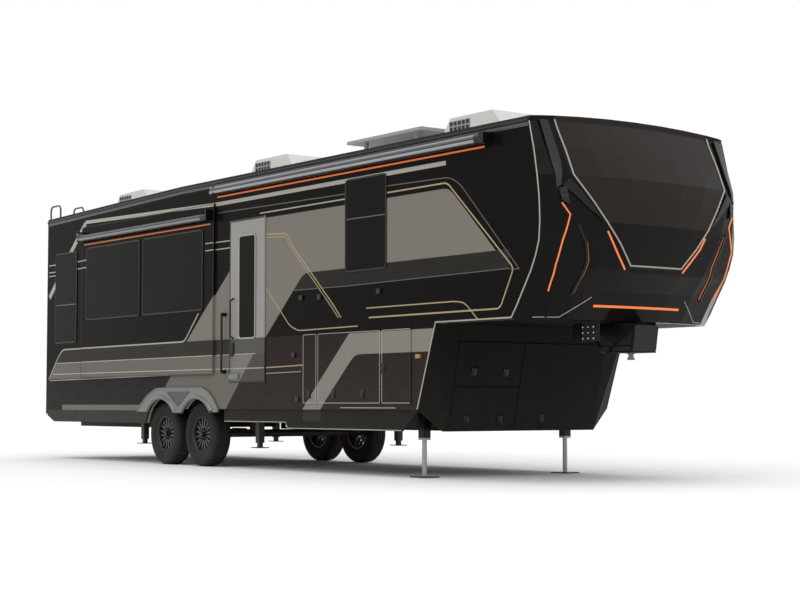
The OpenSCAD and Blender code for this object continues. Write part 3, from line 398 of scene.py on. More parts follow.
def awning_colours(tree):
    """Folded awnings: a black case with black ends, its bright and grey bands partly the silver roller and partly a
    painted highlight on the rounded case
    """
    x, _, z = place_of(tree)
    main = over(tree, z, 3.15)
    slide = under(tree, z, 3.15)
    # Bright and grey bands across the case's height: partly silver roller, partly painted highlight and reflection on
    # its rounded face
    drawn = painted(tree, colour("1a1a1b"), "8f9092", least(tree, main, under(tree, z, 3.302), over(tree, z, 3.288)))
    drawn = painted(tree, drawn, "56575a", least(tree, main, under(tree, z, 3.288), over(tree, z, 3.266)))
    drawn = painted(tree, drawn, "9a9b9c", least(tree, main, under(tree, z, 3.254), over(tree, z, 3.228)))
    drawn = painted(tree, drawn, "8b8c8e", least(tree, slide, under(tree, z, 3.034), over(tree, z, 3.004)))
    drawn = painted(tree, drawn, "4a4b4d", least(tree, slide, under(tree, z, 3.004), over(tree, z, 2.978)))
    drawn = painted(tree, drawn, "7c7d7f", least(tree, slide, under(tree, z, 2.964), over(tree, z, 2.938)))
    drawn = painted(tree, drawn, "0c0c0c", over(tree, x, 4.33))
    return painted(tree, drawn, "0c0c0c", least(tree, slide, over(tree, x, -0.86)))


def unit_colours(tree):
    """Off-white covers with a slightly darker foot"""
    _, _, z = place_of(tree)
    return painted(tree, colour("cfcfcc"), "b3b3b0", under(tree, z, 3.40))


FINISHES = {
    # Side, wall and rear paint: the dusty brown towards the bottom is also a painted reflection of the ground
    "side_paint": finish_of("side_paint", side_colours, 0.24, gloss=0.03, grain=300.0, variation=0.10, dust_and_reflection=0.18, dust_and_reflection_top=1.4),
    "wall_paint": finish_of("wall_paint", wall_colours, 0.24, gloss=0.03, grain=300.0, variation=0.10, dust_and_reflection=0.18, dust_and_reflection_top=1.4),
    "room_paint": finish_of("room_paint", room_colours, 0.24, gloss=0.03, grain=300.0, variation=0.10),
    "rear_paint": finish_of("rear_paint", "0f0e0d", 0.24, gloss=0.03, grain=300.0, variation=0.10, dust_and_reflection=0.18, dust_and_reflection_top=1.4),
    "door_paint": finish_of("door_paint", door_colours, 0.30, gloss=0.35, grain=300.0, variation=0.08),
    "cap_paint": finish_of("cap_paint", cap_colours, 0.16, gloss=0.10, grain=260.0, variation=0.10),
    "box_black": finish_of("box_black", "10100e", 0.55, gloss=0.08, grain=500.0, variation=0.25, bump=0.06, dust_and_reflection=0.12, dust_and_reflection_top=1.2),
    "roof_sheet": finish_of("roof_sheet", roof_colours, 0.75, gloss=0.2, grain=120.0, variation=0.10, bump=0.05),
    "frame_black": finish_of("frame_black", "0f0f0f", 0.45, gloss=0.3, grain=220.0, variation=0.3, bump=0.05, dust_and_reflection=0.5, dust_and_reflection_top=0.9),
    "skirt_paint": finish_of("skirt_paint", skirt_colours, 0.45, gloss=0.10, grain=260.0, variation=0.2, bump=0.03, dust_and_reflection=0.10),
    "rust_primer": finish_of("rust_primer", "3b100c", 0.6, gloss=0.3, grain=180.0, variation=0.3, bump=0.06, dust_and_reflection=0.3, dust_and_reflection_top=0.6),
    "floor_board": finish_of("floor_board", "6d6252", 0.55, gloss=0.3, grain=30.0, variation=0.3, bump=0.05),
    "wall_board": finish_of("wall_board", "a89f90", 0.7, gloss=0.2, grain=50.0, variation=0.12, bump=0.03),
    "bare_steel": finish_of("bare_steel", "6f7174", 0.35, metal=0.9, grain=150.0, variation=0.2, bump=0.03),
    "dark_glass": finish_of("dark_glass", "0d0a08", 0.06, gloss=0.05, grain=3.0, variation=0.3, bump=0.0),
    "tyre_rubber": finish_of("tyre_rubber", "1a1a1a", 0.75, gloss=0.2, grain=350.0, variation=0.2, bump=0.08, dust_and_reflection=0.14, dust_and_reflection_top=0.8),
    "wheel_alloy": finish_of("wheel_alloy", "0d0d0e", 0.28, gloss=0.3, grain=200.0, variation=0.1),
    "fender_silver": finish_of("fender_silver", "757573", 0.30, metal=0.55, grain=400.0, variation=0.08, dust_and_reflection=0.2, dust_and_reflection_top=1.0),
    "leg_steel": finish_of("leg_steel", leg_colours, 0.35, metal=0.5, grain=150.0, variation=0.15, bump=0.03),
    "awning_metal": finish_of("awning_metal", awning_colours, 0.32, metal=0.4, grain=200.0, variation=0.1),
    "unit_white": finish_of("unit_white", unit_colours, 0.5, gloss=0.35, grain=250.0, variation=0.05, bump=0.04),
    "panel_cells": finish_of("panel_cells", "9a9b9c", 0.4, gloss=0.3, grain=40.0, variation=0.15),
    "ladder_tube": finish_of("ladder_tube", "4a4c4f", 0.35, metal=0.7, grain=200.0, variation=0.1),
    "lamp_lens": finish_of("lamp_lens", lamp_colours, 0.15, gloss=0.5, grain=120.0, variation=0.15, bump=0.05),
    "black_trim": finish_of("black_trim", "0c0c0c", 0.4, gloss=0.35, grain=400.0, variation=0.15),
    "silver_line": finish_of("silver_line", "a29d92", 0.35, metal=0.2, grain=200.0, variation=0.06),
    "grey_line": finish_of("grey_line", "504e4a", 0.35, metal=0.2, grain=200.0, variation=0.06),
    "eave_grey": finish_of("eave_grey", "47484a", 0.35, metal=0.4, grain=200.0, variation=0.08),
    # A lighter grey for the band along the cap's side crease: a painted highlight
    "ridge_highlight_grey": finish_of("ridge_highlight_grey", "2a2a2b", 0.25, gloss=0.2, grain=260.0, variation=0.08),
    "gold_line": finish_of("gold_line", "a4906e", 0.35, metal=0.25, grain=200.0, variation=0.06),
    "unit_grey": finish_of("unit_grey", "8b8c8b", 0.5, gloss=0.3, grain=250.0, variation=0.08, bump=0.03),
    "cap_bevel": finish_of("cap_bevel", "1d1b1a", 0.24, gloss=0.16, grain=260.0, variation=0.10),
    "machined": finish_of("machined", "85827f", 0.30, metal=0.8, grain=150.0, variation=0.10),
    "bright_metal": finish_of("bright_metal", "b9bbbd", 0.22, metal=0.9, grain=150.0, variation=0.08),
}


def glow_finish(name, base, code, strength):
    """A lamp strip behind a frosted cover"""
    made = finish_of(name, base, 0.4, grain=90.0, variation=0.1)
    shader = made.node_tree.nodes["Principled BSDF"]
    shader.inputs["Emission Color"].default_value = colour(code)
    shader.inputs["Emission Strength"].default_value = strength
    return made


FINISHES["amber_glow"] = glow_finish("amber_glow", "4a2410", "ee7f42", 1.0)
FINISHES["awning_glow"] = glow_finish("awning_glow", "3a1a0a", "c4602a", 0.95)
FINISHES["dim_glow"] = glow_finish("dim_glow", "3a1a0a", "b85f2a", 0.9)

NODE_FINISHES = {
    "wall_paint": ["side_wall_curb", "side_wall_road"],
    "room_paint": ["slide_out_curb", "slide_out_road"],
    "side_paint": ["hatch_curb_a", "hatch_curb_b", "hatch_curb_c", "hatch_road"],
    "rear_paint": ["rear_wall"],
    "door_paint": ["entry_door"],
    "cap_paint": ["front_cap"],
    "box_black": ["front_wall", "front_hatch_upper", "front_hatch_lower", "front_hatch_road", "front_deck"],
    "roof_sheet": ["roof"],
    "frame_black": ["chassis_frame", "axle_front", "axle_rear", "levelling_jacks", "pin_box"],
    "skirt_paint": ["underbelly_tray"],
    "rust_primer": ["suspension"],
    "floor_board": ["main_floor", "storage_floor"],
    "wall_board": ["bulkhead"],
    "bare_steel": ["kingpin"],
    "dark_glass": ["slide_glass_curb", "slide_glass_road", "entry_door_glass", "window_glass"],
    "tyre_rubber": ["tyre_curb_front", "tyre_curb_rear", "tyre_road_front", "tyre_road_rear"],
    "wheel_alloy": ["rim_curb_front", "rim_curb_rear", "rim_road_front", "rim_road_rear"],
    "fender_silver": ["fender_curb", "fender_road"],
    "leg_steel": ["landing_legs"],
    "awning_metal": ["main_awning", "slide_awning_curb", "slide_awning_road"],
    "unit_white": ["air_conditioners"],
    "panel_cells": ["roof_fittings"],
    "ladder_tube": ["ladder"],
    "lamp_lens": ["lamps"],
    "black_trim": ["grab_handle"],
}


# Modelling

def pick(piece, wanted, kind="FACE"):
    """Selects, in edit mode, the faces or vertices that the test takes by their place and normal"""
    bpy.ops.mesh.select_mode(type=kind)
    bpy.ops.mesh.select_all(action="DESELECT")
    bpy.ops.object.mode_set(mode="OBJECT")
    for part in (piece.data.polygons if kind == "FACE" else piece.data.vertices):
        part.select = wanted(part.center if kind == "FACE" else part.co, part.normal)
    bpy.ops.object.mode_set(mode="EDIT")


def settle(piece, name, finish, body="trailer", smooth=35):
    """Puts a piece's place into its mesh and gives it its name, finish and body"""
    deselect()
    piece.select_set(True)
    bpy.context.view_layer.objects.active = piece
    bpy.ops.object.transform_apply(location=True, rotation=True, scale=True)
    bpy.ops.object.mode_set(mode="EDIT")
    bpy.ops.mesh.select_all(action="SELECT")
    bpy.ops.mesh.normals_make_consistent(inside=False)
    bpy.ops.object.mode_set(mode="OBJECT")
    if smooth:
        bpy.ops.object.shade_smooth_by_angle(angle=math.radians(smooth))
    piece.name = name
    piece.data.name = name
    piece.data.materials.clear()
    piece.data.materials.append(FINISHES[finish])
    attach(piece, body)
    return piece


def wire(points, radius, corner=0.0, sides=2, closed=False):
    """A round rod along a chain of points, with its corners rounded"""
    deselect()
    bpy.ops.mesh.primitive_plane_add(size=0.001, location=points[0])
    rod = bpy.context.object
    bpy.ops.object.transform_apply(location=True)
    bpy.ops.object.mode_set(mode="EDIT")
    bpy.ops.mesh.select_mode(type="VERT")
    bpy.ops.mesh.select_all(action="SELECT")
    bpy.ops.mesh.merge(type="CENTER")
    for start, end in zip(points, points[1:]):
        step = Vector(end) - Vector(start)
        bpy.ops.mesh.extrude_region_move(TRANSFORM_OT_translate={"value": step})
    if closed:
        bpy.ops.mesh.select_all(action="SELECT")
        bpy.ops.mesh.remove_doubles(threshold=0.0005)
    if corner:
        ends = [] if closed else [Vector(points[0]), Vector(points[-1])]
        pick(rod, lambda at, _: all((at - end).length > 0.002 for end in ends), "VERT")
        bpy.ops.mesh.bevel(affect="VERTICES", offset=corner, segments=4)
    bpy.ops.object.mode_set(mode="OBJECT")
    bpy.ops.object.convert(target="CURVE")
    rod = bpy.context.object
    rod.data.bevel_depth = radius
    rod.data.bevel_resolution = sides
    rod.data.use_fill_caps = True
    bpy.ops.object.convert(target="MESH")
    return bpy.context.object


def flatten(piece, axis, level, share):
    """Presses a piece flat against a plane across one axis"""
    deselect()
    piece.select_set(True)
    bpy.context.view_layer.objects.active = piece
    bpy.ops.object.mode_set(mode="EDIT")
    bpy.ops.mesh.select_all(action="SELECT")
    bpy.ops.transform.resize(value=[share if i == axis else 1.0 for i in range(3)],
                             center_override=[level if i == axis else 0.0 for i in range(3)])
    bpy.ops.object.mode_set(mode="OBJECT")
    return piece


def joined(pieces):
    deselect()
    for piece in pieces:
        piece.select_set(True)
    bpy.context.view_layer.objects.active = pieces[0]
    if len(pieces) > 1:
        bpy.ops.object.join()
    return bpy.context.object


def copied(piece, shift=(0, 0, 0), mirrored=False):
    """A copy with its own mesh, moved or mirrored to the road side"""
    deselect()
    piece.select_set(True)
    bpy.context.view_layer.objects.active = piece
    bpy.ops.object.duplicate()
    twin = bpy.context.object
    if mirrored:
        bpy.ops.transform.resize(value=(1, -1, 1), center_override=(0, 0, 0))
    bpy.ops.transform.translate(value=shift)
    bpy.ops.object.transform_apply(location=True, rotation=True, scale=True)
    return twin


def soft_block(low, high, edge=0.003, segments=2):
    """A block between two corners with rounded edges"""
    deselect()
    low, high = Vector(low), Vector(high)
    bpy.ops.mesh.primitive_cube_add(size=1.0, location=(low + high) / 2, scale=high - low)
    piece = bpy.context.object
    bpy.ops.object.transform_apply(location=True, scale=True)
    bpy.ops.object.mode_set(mode="EDIT")
    bpy.ops.mesh.bevel(offset=edge, segments=segments, affect="EDGES")
    bpy.ops.object.mode_set(mode="OBJECT")
    return piece


# Stripes of the paint scheme, with one painted reflection line among the silver ones

def cut_to(piece, low, high, inside):
    """Cuts a piece along a rectangle in X and Z and keeps what is inside or outside"""
    deselect()
    piece.select_set(True)
    bpy.context.view_layer.objects.active = piece
    bpy.ops.object.mode_set(mode="EDIT")
    for spot, normal in (((low[0], 0, 0), (1, 0, 0)), ((high[0], 0, 0), (1, 0, 0)),
                         ((0, 0, low[1]), (0, 0, 1)), ((0, 0, high[1]), (0, 0, 1))):
        bpy.ops.mesh.select_all(action="SELECT")
        bpy.ops.mesh.bisect(plane_co=spot, plane_no=normal)
    pick(piece, lambda at, _: (low[0] < at.x < high[0] and low[1] < at.z < high[1]) != inside)
    bpy.ops.mesh.delete(type="FACE")
    bpy.ops.mesh.select_all(action="SELECT")
    bpy.ops.mesh.fill_holes(sides=0)
    bpy.ops.object.mode_set(mode="OBJECT")
    return piece


# Silver and gold lines: half width, corner, points (X, Z)
SILVER_STRIPES_AND_REFLECTION = [
    (0.026, 0.03, [(-4.135, 3.193), (-0.70, 3.112), (3.76, 3.107)]),
    (0.044, 0.03, [(-4.135, 3.180), (-4.600, 2.80), (-5.24, 2.226)]),
    (0.008, 0, [(-5.262, 2.675), (-5.037, 2.675)]),
    (0.008, 0, [(-5.262, 2.577), (-5.037, 2.577)]),
    (0.008, 0, [(-5.262, 2.525), (-5.037, 2.525)]),
    (0.008, 0, [(-4.375, 2.675), (-4.035, 2.675)]),
    (0.008, 0, [(-4.375, 2.577), (-4.035, 2.577)]),
    (0.007, 0, [(-0.873, 2.657), (-0.345, 2.657)]),
    (0.007, 0, [(-0.873, 2.572), (-0.345, 2.572)]),
    (0.010, 0.06, [(-5.23, 1.09), (-4.92, 1.41), (-4.79, 1.49), (-1.37, 1.50), (-1.03, 1.83)]),
    (0.006, 0, [(-4.98, 1.305), (0.24, 1.32)]),
    # A thin light line on the lower moulding edge: a painted reflection of the sky
    (0.006, 0, [(-5.20, 1.07), (-1.77, 1.10)]),
    (0.007, 0, [(-5.10, 1.155), (0.44, 1.155)]),
    (0.008, 0, [(0.318, 2.918), (2.03, 2.918)]),
    (0.005, 0, [(1.935, 0.706), (2.926, 0.706)]),
]
GREY_STRIPES = [
    (0.006, 0, [(-0.626, 3.006), (2.03, 2.972)]),
    (0.005, 0, [(0.95, 2.00), (2.02, 1.99), (4.73, 2.01)]),
    (0.006, 0.08, [(2.78, 2.98), (3.82, 2.96), (3.98, 2.88), (4.86, 1.995)]),
    (0.006, 0, [(4.86, 1.997), (4.74, 1.999)]),
]
GOLD_STRIPES = [
    (0.008, 0.06, [(0.46, 2.665), (0.88, 2.645), (1.03, 2.47), (1.82, 1.79), (1.95, 1.66)]),
    (0.006, 0.06, [(0.46, 2.630), (0.86, 2.612), (1.00, 2.45), (1.78, 1.775), (1.90, 1.66)]),
    (0.007, 0.06, [(0.46, 2.05), (0.95, 1.61), (1.12, 1.55), (2.26, 1.56)]),
    (0.007, 0.06, [(2.41, 1.74), (3.90, 1.74), (4.05, 1.72), (4.25, 1.55)]),
    (0.009, 0.05, [(2.46, 1.64), (4.58, 1.64), (4.78, 2.01), (3.78, 2.91), (2.78, 2.91)]),
    (0.007, 0, [(0.46, 1.155), (1.21, 1.17)]),
    (0.005, 0, [(0.46, 1.09), (1.18, 1.10)]),
]
STRIPE_T = 0.0022


def side_rect(node):
    low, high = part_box(node)
    return (low.x, low.z), (high.x, high.z), max(abs(low.y), abs(high.y))


def lay_stripes():
    """Lays the lines on both side walls and carries them over the panels that move"""
    masters = {
        finish: joined([
            flatten(wire([(x, -WALL_Y, z) for x, z in points], half, corner, 1), 1, -WALL_Y, STRIPE_T / half)
            for half, corner, points in stripes
        ])
        for finish, stripes in (("silver_line", SILVER_STRIPES_AND_REFLECTION), ("grey_line", GREY_STRIPES), ("gold_line", GOLD_STRIPES))
    }
    panels = {
        -1: [("slide_out_curb", "slide_room_curb"), ("entry_door", "door"), ("hatch_curb_a", "hatch_a"),
             ("hatch_curb_b", "hatch_b"), ("hatch_curb_c", "hatch_c")],
        1: [("slide_out_road", "slide_room_road"), ("hatch_road", "hatch_d")],
    }
    for finish, master in masters.items():
        for side, carriers in panels.items():
            whole = copied(master, mirrored=side > 0)
            for node, body in carriers:
                low, high, _ = side_rect(node)
                face = {"entry_door": 0.0053, "slide_out_curb": 0.0253, "slide_out_road": 0.0253}.get(node, 0.0053)
                patch = cut_to(copied(whole, (0, side * face, 0)), low, high, True)
                if len(patch.data.polygons):
                    settle(patch, finish + "_" + node, finish, body, smooth=0)
                else:
                    bpy.data.objects.remove(patch)
                cut_to(whole, low, high, False)
            settle(whole, finish + ("_road" if side > 0 else "_curb"), finish, smooth=0)
        bpy.data.objects.remove(master)


# Front cap

def cap_spot(y, z, lift=0.0):
    """The point of the cap's surface straight behind a place seen from the front"""
    hit, at, normal, _ = nodes["front_cap"].ray_cast(Vector((6.5, y, z)), Vector((-1, 0, 0)))
    return at + normal * lift if hit else Vector((5.0, y, z))


def cap_chain(points, step=0.08, lift=0.0):
    """Points on the cap along straight runs seen from the front, given as (Y, Z)"""
    chain = []
    for (y0, z0), (y1, z1) in zip(points, points[1:]):
        count = max(1, round(math.hypot(y1 - y0, z1 - z0) / step))
        chain += [cap_spot(y0 + (y1 - y0) * i / count, z0 + (z1 - z0) * i / count, lift) for i in range(count)]
    return chain + [cap_spot(*points[-1], lift)]


def cap_line(name, finish, points, radius, pair=True):
    """A line on the cap, and its mirror image joined to it"""
    line = wire(cap_chain(points, lift=radius * 0.4), radius)
    if pair:
        line = joined([line, copied(line, mirrored=True)])
    return settle(line, name, finish)


SHIELD_TURNS = [(1.012, 3.392), (1.000, 2.850), (0.666, 2.423), (0.334, 2.040)]


def front_cap_trim():
    outline = SHIELD_TURNS + [(-y, z) for y, z in reversed(SHIELD_TURNS)]
    cap_line("cap_shield_line", "silver_line", outline, 0.008, pair=False)
    cap_line("cap_front_lamp", "amber_glow", [(0.643, 2.344), (0.569, 2.230), (0.476, 2.116), (0.379, 2.003)], 0.009)
    cap_line("cap_low_lamp", "amber_glow", [(-0.56, 1.668), (0.56, 1.668)], 0.012, pair=False)
    cap_line("cap_side_lamp", "amber_glow", [(1.126, 2.585), (1.048, 2.479), (1.113, 2.243), (1.120, 2.015), (1.090, 1.790)], 0.008)
    cap_line("cap_inner_lamp", "dim_glow", [(0.958, 2.387), (0.863, 2.227), (0.813, 2.072), (0.832, 1.772)], 0.006)
    cap_line("cap_inner_fin", "cap_bevel", [(0.976, 2.400), (0.881, 2.235), (0.831, 2.072), (0.850, 1.760)], 0.015)
    cap_line("cap_low_crease", "silver_line", [(0.615, 1.746), (0.890, 1.556), (1.130, 1.553)], 0.004)
    for name, finish, outer, inner in (
        ("cap_cheek", "cap_bevel", [(1.115, 2.750), (0.840, 2.530), (0.690, 2.440)], [(1.036, 2.815), (0.792, 2.555), (0.702, 2.450)]),
        # The band along the side crease is lighter grey as a painted highlight
        ("cap_highlight_ridge", "ridge_highlight_grey", [(1.190, 3.375), (1.180, 2.970), (1.165, 2.720)], [(1.105, 3.375), (1.092, 2.970), (1.125, 2.750)]),
        ("cap_scoop", "black_trim", [(1.150, 2.710), (1.128, 2.605)], [(1.078, 2.740), (1.055, 2.570)]),
    ):
        sides = [cap_band(outer, inner, 0.009)]
        sides.append(copied(sides[0], mirrored=True))
        settle(joined(sides), name, finish, smooth=20)


def cap_band(outer, inner, thick):
    """A raised band between two chains on the cap"""
    count = 14
    rows = []
    for line in (outer, inner):
        chain = cap_chain(line, 0.02)
        rows.append([chain[round(i * (len(chain) - 1) / count)] for i in range(count + 1)])
    deselect()
    bpy.ops.mesh.primitive_grid_add(x_subdivisions=count, y_subdivisions=3, size=1.0)
    band = bpy.context.object
    for spot in band.data.vertices:
        along = round((spot.co.x + 0.5) * count)
        across = spot.co.y + 0.5
        spot.co = rows[0][along].lerp(rows[1][along], across)
        hit, at, normal, _ = nodes["front_cap"].closest_point_on_mesh(spot.co)
        spot.co = at + normal * (thick * (0.35 + 0.65 * across))
    shell = band.modifiers.new("thickness", "SOLIDIFY")
    shell.thickness = thick * 1.6
    shell.offset = -1.0
    bpy.ops.object.modifier_apply(modifier="thickness")
    return band


SEAM_LINE = [(5.005, 3.36), (5.07, 3.10), (5.115, 2.85), (5.142, 2.64), (5.150, 2.42), (5.135, 2.24), (5.085, 2.10),
             (5.02, 1.97), (4.91, 1.80), (4.82, 1.66), (4.74, 1.55), (3.588, 1.55), (3.51, 1.33), (3.288, 0.692)]
EAVE_LINE = [(REAR_X, 3.285), (-1.515, 3.370), (4.995, 3.370)]


def both_walls(name, finish, points, radius, flat=0.35, level=None, corner=0.0):
    """A line drawn on the kerb side wall and on the road side wall"""
    level = WALL_Y if level is None else level
    line = flatten(wire([(x, -level, z) for x, z in points], radius, corner), 1, -level, flat)
    return settle(joined([line, copied(line, mirrored=True)]), name, finish)


def wall_trim():
    both_walls("seam_trim", "silver_line", SEAM_LINE, 0.009)
    both_walls("eave_rail", "black_trim", EAVE_LINE, 0.016, flat=0.9)
    both_walls("eave_band", "eave_grey", [(x, z - 0.034) for x, z in EAVE_LINE], 0.020, flat=0.3)
    both_walls("bedroom_divider", "grey_line", [(2.055, 2.695), (2.755, 2.690)], 0.006, level=WALL_Y + 0.008)
    both_walls("rear_window_divider", "grey_line", [(-5.015, 2.105), (-4.395, 2.102)], 0.006, level=WALL_Y + 0.008)
    # A silver line along the lower edge of the skirt: a painted highlight of that edge
    both_walls("skirt_edge_highlight", "silver_line", [(-0.48, 0.545), (0.84, 0.545), (0.88, 0.479), (3.0, 0.479)], 0.005, level=1.2655)
    arch = [(x + 0.446 * math.cos(a), 0.382 + 0.446 * math.sin(a))
            for x in (AXLES["rear"], AXLES["front"])
            for a in [math.radians(142 - 104 * i / 14) for i in range(15)]]
    both_walls("fender_lip", "fender_silver", arch, 0.026, flat=0.9, level=WALL_Y + 0.022)
    crown = [(-2.568, 0.650), (-2.528, 0.708), (-2.298, 0.854), (-2.088, 0.930), (-1.968, 0.938), (-0.950, 0.938),
             (-0.810, 0.890), (-0.680, 0.794), (-0.572, 0.668)]
    both_walls("fender_ridge", "fender_silver", crown, 0.010, flat=0.9, level=WALL_Y + 0.022)


def fender_inserts():
    """Dark three-cornered panels between the two arches of each fender"""
    deselect()
    bpy.ops.mesh.primitive_cylinder_add(vertices=3, radius=1.0, depth=1.0, rotation=(math.radians(-90), 0, 0))
    insert = bpy.context.object
    bpy.ops.object.transform_apply(rotation=True)
    insert.scale = (0.340, 0.006, 0.125)
    insert.location = (-1.524, -WALL_Y - 0.023, 0.835)
    bpy.ops.object.transform_apply(location=True, scale=True)
    bpy.ops.object.mode_set(mode="EDIT")
    pick(insert, lambda _, normal: normal.y < -0.9)
    bpy.ops.mesh.inset(thickness=0.014)
    bpy.ops.mesh.extrude_region_shrink_fatten(TRANSFORM_OT_shrink_fatten={"value": -0.003})
    bpy.ops.object.mode_set(mode="OBJECT")
    settle(joined([insert, copied(insert, mirrored=True)]), "fender_inserts", "eave_grey", smooth=0)


# Lamps and strips of light

def light_strips():
    low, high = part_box("main_awning")
    face = -WALL_Y
    settle(flatten(wire([(low.x, face, 3.196), (high.x - 0.12, face, 3.196)], 0.010, 0, 2), 1, face, 0.8),
           "awning_light", "awning_glow")
    for node, body, side in (("slide_awning_curb", "slide_room_curb", -1), ("slide_awning_road", "slide_room_road", 1)):
        low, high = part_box(node)
        face = side * (WALL_Y + 0.0253)
        settle(flatten(wire([(low.x + 0.05, face, 2.885), (high.x - 0.05, face, 2.885)], 0.009, 0, 2), 1, face, 0.8),
               "slide_light_" + ("road" if side > 0 else "curb"), "dim_glow", body)
    spots = [joined([soft_block((x - 0.035, -WALL_Y - 0.022, z - 0.028), (x + 0.035, -WALL_Y + 0.001, z + 0.028), 0.006, 3)])
             for x, z in ((1.192, 1.908), (1.551, 1.899), (2.647, 1.904), (1.046, 1.284), (1.12, 0.80))]
    settle(joined(spots), "wall_fittings", "black_trim")


# Windows, doors and hatches

def ring(low, high, y, radius, corner, finish, name, body, flat=0.5):
    """A rounded frame round a rectangle (X, Z) on a plane Y"""
    corners = [(low[0], y, low[1]), (high[0], y, low[1]), (high[0], y, high[1]), (low[0], y, high[1]), (low[0], y, low[1])]
    frame_ring = flatten(wire(corners, radius, corner, 2, closed=True), 1, y, flat)
    return settle(frame_ring, name, finish, body)


def windows_and_doors():
    for name, body, low, high, face, sides in (
        ("rear_window", "trailer", (-5.03, 1.585), (-4.38, 2.815), WALL_Y + 0.008, (-1, 1)),
        ("bedroom_window", "trailer", (2.04, 2.14), (2.77, 3.11), WALL_Y + 0.008, (-1, 1)),
    ):
        for side in sides:
            label = name + ("_frame_road" if side > 0 else "_frame_curb")
            ring(low, high, side * face, 0.009, 0.045, "black_trim", label, body)
    for node, body, side, length in (("curb", "slide_room_curb", -1, 3.51), ("road", "slide_room_road", 1, 3.90)):
        face = side * (WALL_Y + 0.0333)
        width = (length - 0.50) / 2
        for i in (0, 1):
            x = -4.19 + 0.16 + i * (width + 0.09)
            ring((x, 1.87), (x + width, 2.83), face, 0.009, 0.045, "black_trim", "slide_window_frame_%s_%d" % (node, i), body)
        ring((-4.182, 1.098), (-4.198 + length, 3.117), side * (WALL_Y + 0.0253), 0.007, 0, "black_trim", "slide_edge_" + node, body)
    door_y = -WALL_Y - 0.0053
    ring((DOOR_LOW.x + 0.010, DOOR_LOW.z + 0.010), (0.430, DOOR_HIGH.z - 0.010), door_y, 0.008, 0.02, "black_trim", "door_edge", "door")
    glass_low, glass_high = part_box("entry_door_glass")
    ring((glass_low.x, glass_low.z), (glass_high.x, glass_high.z), door_y - 0.008, 0.010, 0.04, "silver_line", "door_glass_frame", "door")
    bar = wire([(-0.25, door_y, 1.506), (-0.25, door_y - 0.045, 1.53), (-0.25, door_y - 0.045, 1.945), (-0.25, door_y, 1.97)], 0.011, 0.015)
    box = soft_block((-0.325, door_y - 0.018, 1.03), (-0.12, door_y + 0.002, 1.10), 0.006, 3)
    lock = soft_block((-0.325, door_y - 0.016, 1.30), (-0.235, door_y + 0.002, 1.46), 0.008, 3)
    settle(joined([bar, lock]), "door_pull", "black_trim", "door")
    settle(box, "door_latch", "fender_silver", "door")
    for node, body, side in (("hatch_curb_a", "hatch_a", -1), ("hatch_curb_b", "hatch_b", -1), ("hatch_curb_c", "hatch_c", -1),
                             ("hatch_road", "hatch_d", 1)):
        low, high, _ = side_rect(node)
        inset = 0.010
        right = 3.180 if node.endswith("_c") else high[0] - inset
        ring((low[0] + inset, low[1] + inset), (right, 1.510 - inset), side * (WALL_Y + 0.0053), 0.004, 0.012,
             "silver_line", node + "_line", body)


def latch():
    """A paddle latch on the plane Y = 0, facing -Y"""
    plate = soft_block((-0.034, -0.010, -0.05), (0.034, 0.002, 0.05), 0.008, 3)
    bpy.ops.object.mode_set(mode="EDIT")
    pick(plate, lambda at, normal: normal.y < -0.9 and abs(at.x) < 0.02)
    bpy.ops.mesh.inset(thickness=0.008)
    bpy.ops.mesh.extrude_region_shrink_fatten(TRANSFORM_OT_shrink_fatten={"value": -0.006})
    bpy.ops.object.mode_set(mode="OBJECT")
    paddle = soft_block((-0.019, -0.016, -0.030), (0.019, -0.004, 0.014), 0.004, 2)
    return joined([plate, paddle])


def latches():
    master = latch()
    for node, body, places in (
        ("hatch_a", "hatch_a", [(1.354, 0.854)]),
        ("hatch_b", "hatch_b", [(1.825, 0.852), (2.36, 0.850)]),
        ("hatch_c", "hatch_c", [(2.726, 1.11)]),
    ):
        row = [copied(master, (x, -WALL_Y - 0.0053, z)) for x, z in places]
        settle(joined(row), node + "_latch", "black_trim", body)
    row = [copied(master, (x, WALL_Y + 0.0053, 0.85), mirrored=True) for x in (1.825, 2.36)]
    settle(joined(row), "hatch_road_latch", "black_trim", "hatch_d")
    for body, label, places in (
        ("front_hatch_a", "front_upper_latch", [(-0.742, 0.61), (-0.327, 0.61)]),
        ("front_hatch_b", "front_lower_latch", [(-0.764, 0.124), (-0.327, 0.124)]),
        ("front_hatch_c", "front_road_latch", [(0.23, 0.13)]),
    ):
        row = []
        for y, up in places:
            piece = copied(master, (y, -0.0053, up))
            piece.rotation_euler = (0, 0, math.radians(90))
            bpy.ops.object.transform_apply(rotation=True)
            piece.rotation_euler = (0, FRONT_TILT, 0)
            piece.location = FRONT_FOOT
            bpy.ops.object.transform_apply(location=True, rotation=True)
            row.append(piece)
        settle(joined(row), label, "black_trim", body)
    bpy.data.objects.remove(master)


# Wheels

TREAD = [(0.232, -0.092), (0.262, -0.108), (0.300, -0.1115), (0.345, -0.109), (0.366, -0.098), (0.379, -0.080),
         (0.3815, -0.058), (0.3815, -0.046), (0.373, -0.044), (0.373, -0.036), (0.3815, -0.034), (0.3815, -0.006),
         (0.373, -0.004)]


